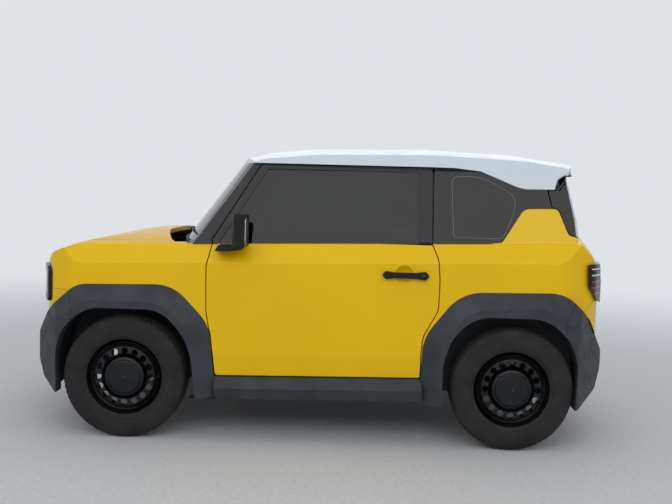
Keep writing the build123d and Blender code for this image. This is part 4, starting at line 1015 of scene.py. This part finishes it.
# Display, air vents and pedals
display_centre = (-0.4172, 0.0, 1.0525)
display_size = (0.244, 0.122)
vent_places = (-0.545, -0.20, 0.20, 0.545)
slat_low_z = 0.945
slat_pitch = 0.014
slats_per_vent = 4
pedals = [("brake", -0.385, 0.072), ("accelerator", -0.275, 0.048)]
pedal_arm_rows = [(-0.579, 0.475), (-0.604, 0.56), (-0.630, 0.66), (-0.646, 0.735)]
rounded_plate(
    "display_glass",
    display_centre,
    (0, 1, 0),
    (0, 0, 1),
    display_size,
    0.0012,
    0.008,
    screen,
    "car_body",
)
for vent, vent_y in enumerate(vent_places):
    for slat in range(slats_per_vent):
        slat_z = slat_low_z + slat_pitch * slat
        reach, _ = touch("dashboard", (0.2, vent_y, slat_z), (-1, 0, 0))
        if reach is None:
            continue
        rounded_plate(
            "vent_" + str(vent + 1) + "_slat_" + str(slat + 1),
            (reach.x + 0.0005, vent_y, slat_z),
            (0, 1, 0),
            (0.25, 0, 1),
            (0.085, 0.007),
            0.004,
            0.002,
            trim_gloss,
            "car_body",
        )
for pedal_name, pedal_y, pedal_width in pedals:
    rounded_plate(
        pedal_name + "_pedal",
        (-0.575, pedal_y, 0.470),
        (0, 1, 0),
        (-0.5, 0, 1),
        (pedal_width, 0.075),
        0.010,
        0.012,
        rubber,
        "car_body",
    )
    tube(
        pedal_name + "_pedal_arm",
        upright(pedal_arm_rows, pedal_y),
        0.007,
        chassis,
        "car_body",
        10,
    )

# Blank registration plates
plate_z = 0.505
plate_size = (0.440, 0.130)
for end_name, end in (("front", -1), ("rear", 1)):
    reach, _ = touch("bumper_claddings", (end * 2.2, 0.02, plate_z), (-end, 0, 0))
    if reach is None:
        continue
    rounded_plate(
        end_name + "_plate",
        (reach.x - end * 0.001, 0, plate_z),
        (0, end, 0),
        (0, 0, 1),
        plate_size,
        0.0032,
        0.010,
        plate_white,
        "car_body",
    )


# Camera, at the photograph's viewpoint
camera_yaw = math.radians(-0.7)
camera_pitch = math.radians(4.119)
camera_roll = math.radians(1.814)
camera_place = (0.1232, -5.5478, 1.38)
level = Vector((math.sin(camera_yaw), math.cos(camera_yaw), 0))
across = Vector((math.cos(camera_yaw), -math.sin(camera_yaw), 0))
ahead = math.cos(camera_pitch) * level - math.sin(camera_pitch) * Vector((0, 0, 1))
over = math.sin(camera_pitch) * level + math.cos(camera_pitch) * Vector((0, 0, 1))
right = math.cos(camera_roll) * across + math.sin(camera_roll) * over
upward = math.cos(camera_roll) * over - math.sin(camera_roll) * across
camera_data = bpy.data.cameras.new("camera")
camera_data.lens = 48.21
camera_data.sensor_width = 36
camera = bpy.data.objects.new("camera", camera_data)
bpy.context.scene.collection.objects.link(camera)
camera.matrix_world = Matrix(
    (
        (right.x, upward.x, -ahead.x, camera_place[0]),
        (right.y, upward.y, -ahead.y, camera_place[1]),
        (right.z, upward.z, -ahead.z, camera_place[2]),
        (0, 0, 0, 1),
    )
)
bpy.context.scene.camera = camera


# Floor, light and background
def lamp(name, place_at, aim, size, power):
    data = bpy.data.lights.new(name, "AREA")
    data.shape = "RECTANGLE"
    data.size, data.size_y = size
    data.energy = power
    made = bpy.data.objects.new(name, data)
    bpy.context.scene.collection.objects.link(made)
    made.location = place_at
    made.rotation_euler = (Vector(aim) - Vector(place_at)).to_track_quat("-Z", "Y").to_euler()
    return made


# Area lamps as name, place, aim, size and watts
studio_lamps = [
    ("sky_panel", (0, -1.0, 6.0), (0, 0, 0.5), (7, 6), 40),
    ("near_panel", (-0.4, -7.0, 4.2), (0, 0, 0.7), (10, 3), 200),
    ("far_panel", (1.0, 6.5, 4.0), (0, 0, 0.9), (6, 3), 60),
]
for lamp_row in studio_lamps:
    lamp(*lamp_row)

floor_mesh = bpy.data.meshes.new("floor")
floor_mesh.from_pydata([(-40, -40, 0), (40, -40, 0), (40, 40, 0), (-40, 40, 0)], [], [(0, 1, 2, 3)])
floor = bpy.data.objects.new("floor", floor_mesh)
bpy.context.scene.collection.objects.link(floor)
floor_look = shader("floor_look", floor_grey, 0.85)
tone(floor_look, grain(floor_look, 40.0), (0.54, 0.55, 0.56), (0.60, 0.61, 0.62))
floor.data.materials.append(floor_look)

# Far from the car the floor takes the background's colour, for rays that see it
links = floor_look.node_tree.links
reach = add_node(floor_look, "ShaderNodeVectorMath", operation="LENGTH")
links.new(place(floor_look), reach.inputs[0])
spread = add_node(floor_look, "ShaderNodeMapRange", interpolation_type="SMOOTHSTEP")
spread.inputs["From Min"].default_value = 2.6
spread.inputs["From Max"].default_value = 9.0
links.new(reach.outputs["Value"], spread.inputs["Value"])
share = add_node(floor_look, "ShaderNodeMath", operation="MULTIPLY")
links.new(spread.outputs["Result"], share.inputs[0])
links.new(seen_rays(floor_look.node_tree), share.inputs[1])
distant = add_node(floor_look, "ShaderNodeEmission")
distant.inputs["Color"].default_value = (*backdrop_colour, 1)
floor_blend = add_node(floor_look, "ShaderNodeMixShader")
links.new(share.outputs[0], floor_blend.inputs["Fac"])
links.new(floor_look.node_tree.nodes["Principled BSDF"].outputs["BSDF"], floor_blend.inputs[1])
links.new(distant.outputs["Emission"], floor_blend.inputs[2])
links.new(floor_blend.outputs["Shader"], floor_look.node_tree.nodes["Material Output"].inputs["Surface"])

world = bpy.data.worlds.new("studio")
bpy.context.scene.world = world
world.use_nodes = True
sky = world.node_tree
backdrop = sky.nodes["Background"]
backdrop.inputs["Color"].default_value = (0.93, 0.95, 1.0, 1)
backdrop.inputs["Strength"].default_value = 0.60
seen = sky.nodes.new("ShaderNodeBackground")
seen.inputs["Color"].default_value = (*backdrop_colour, 1)
seen.inputs["Strength"].default_value = 1.0
blend = sky.nodes.new("ShaderNodeMixShader")
sky.links.new(seen_rays(sky), blend.inputs["Fac"])
sky.links.new(backdrop.outputs[0], blend.inputs[1])
sky.links.new(seen.outputs[0], blend.inputs[2])
sky.links.new(blend.outputs[0], sky.nodes["World Output"].inputs["Surface"])

bpy.context.scene.view_settings.view_transform = "Standard"
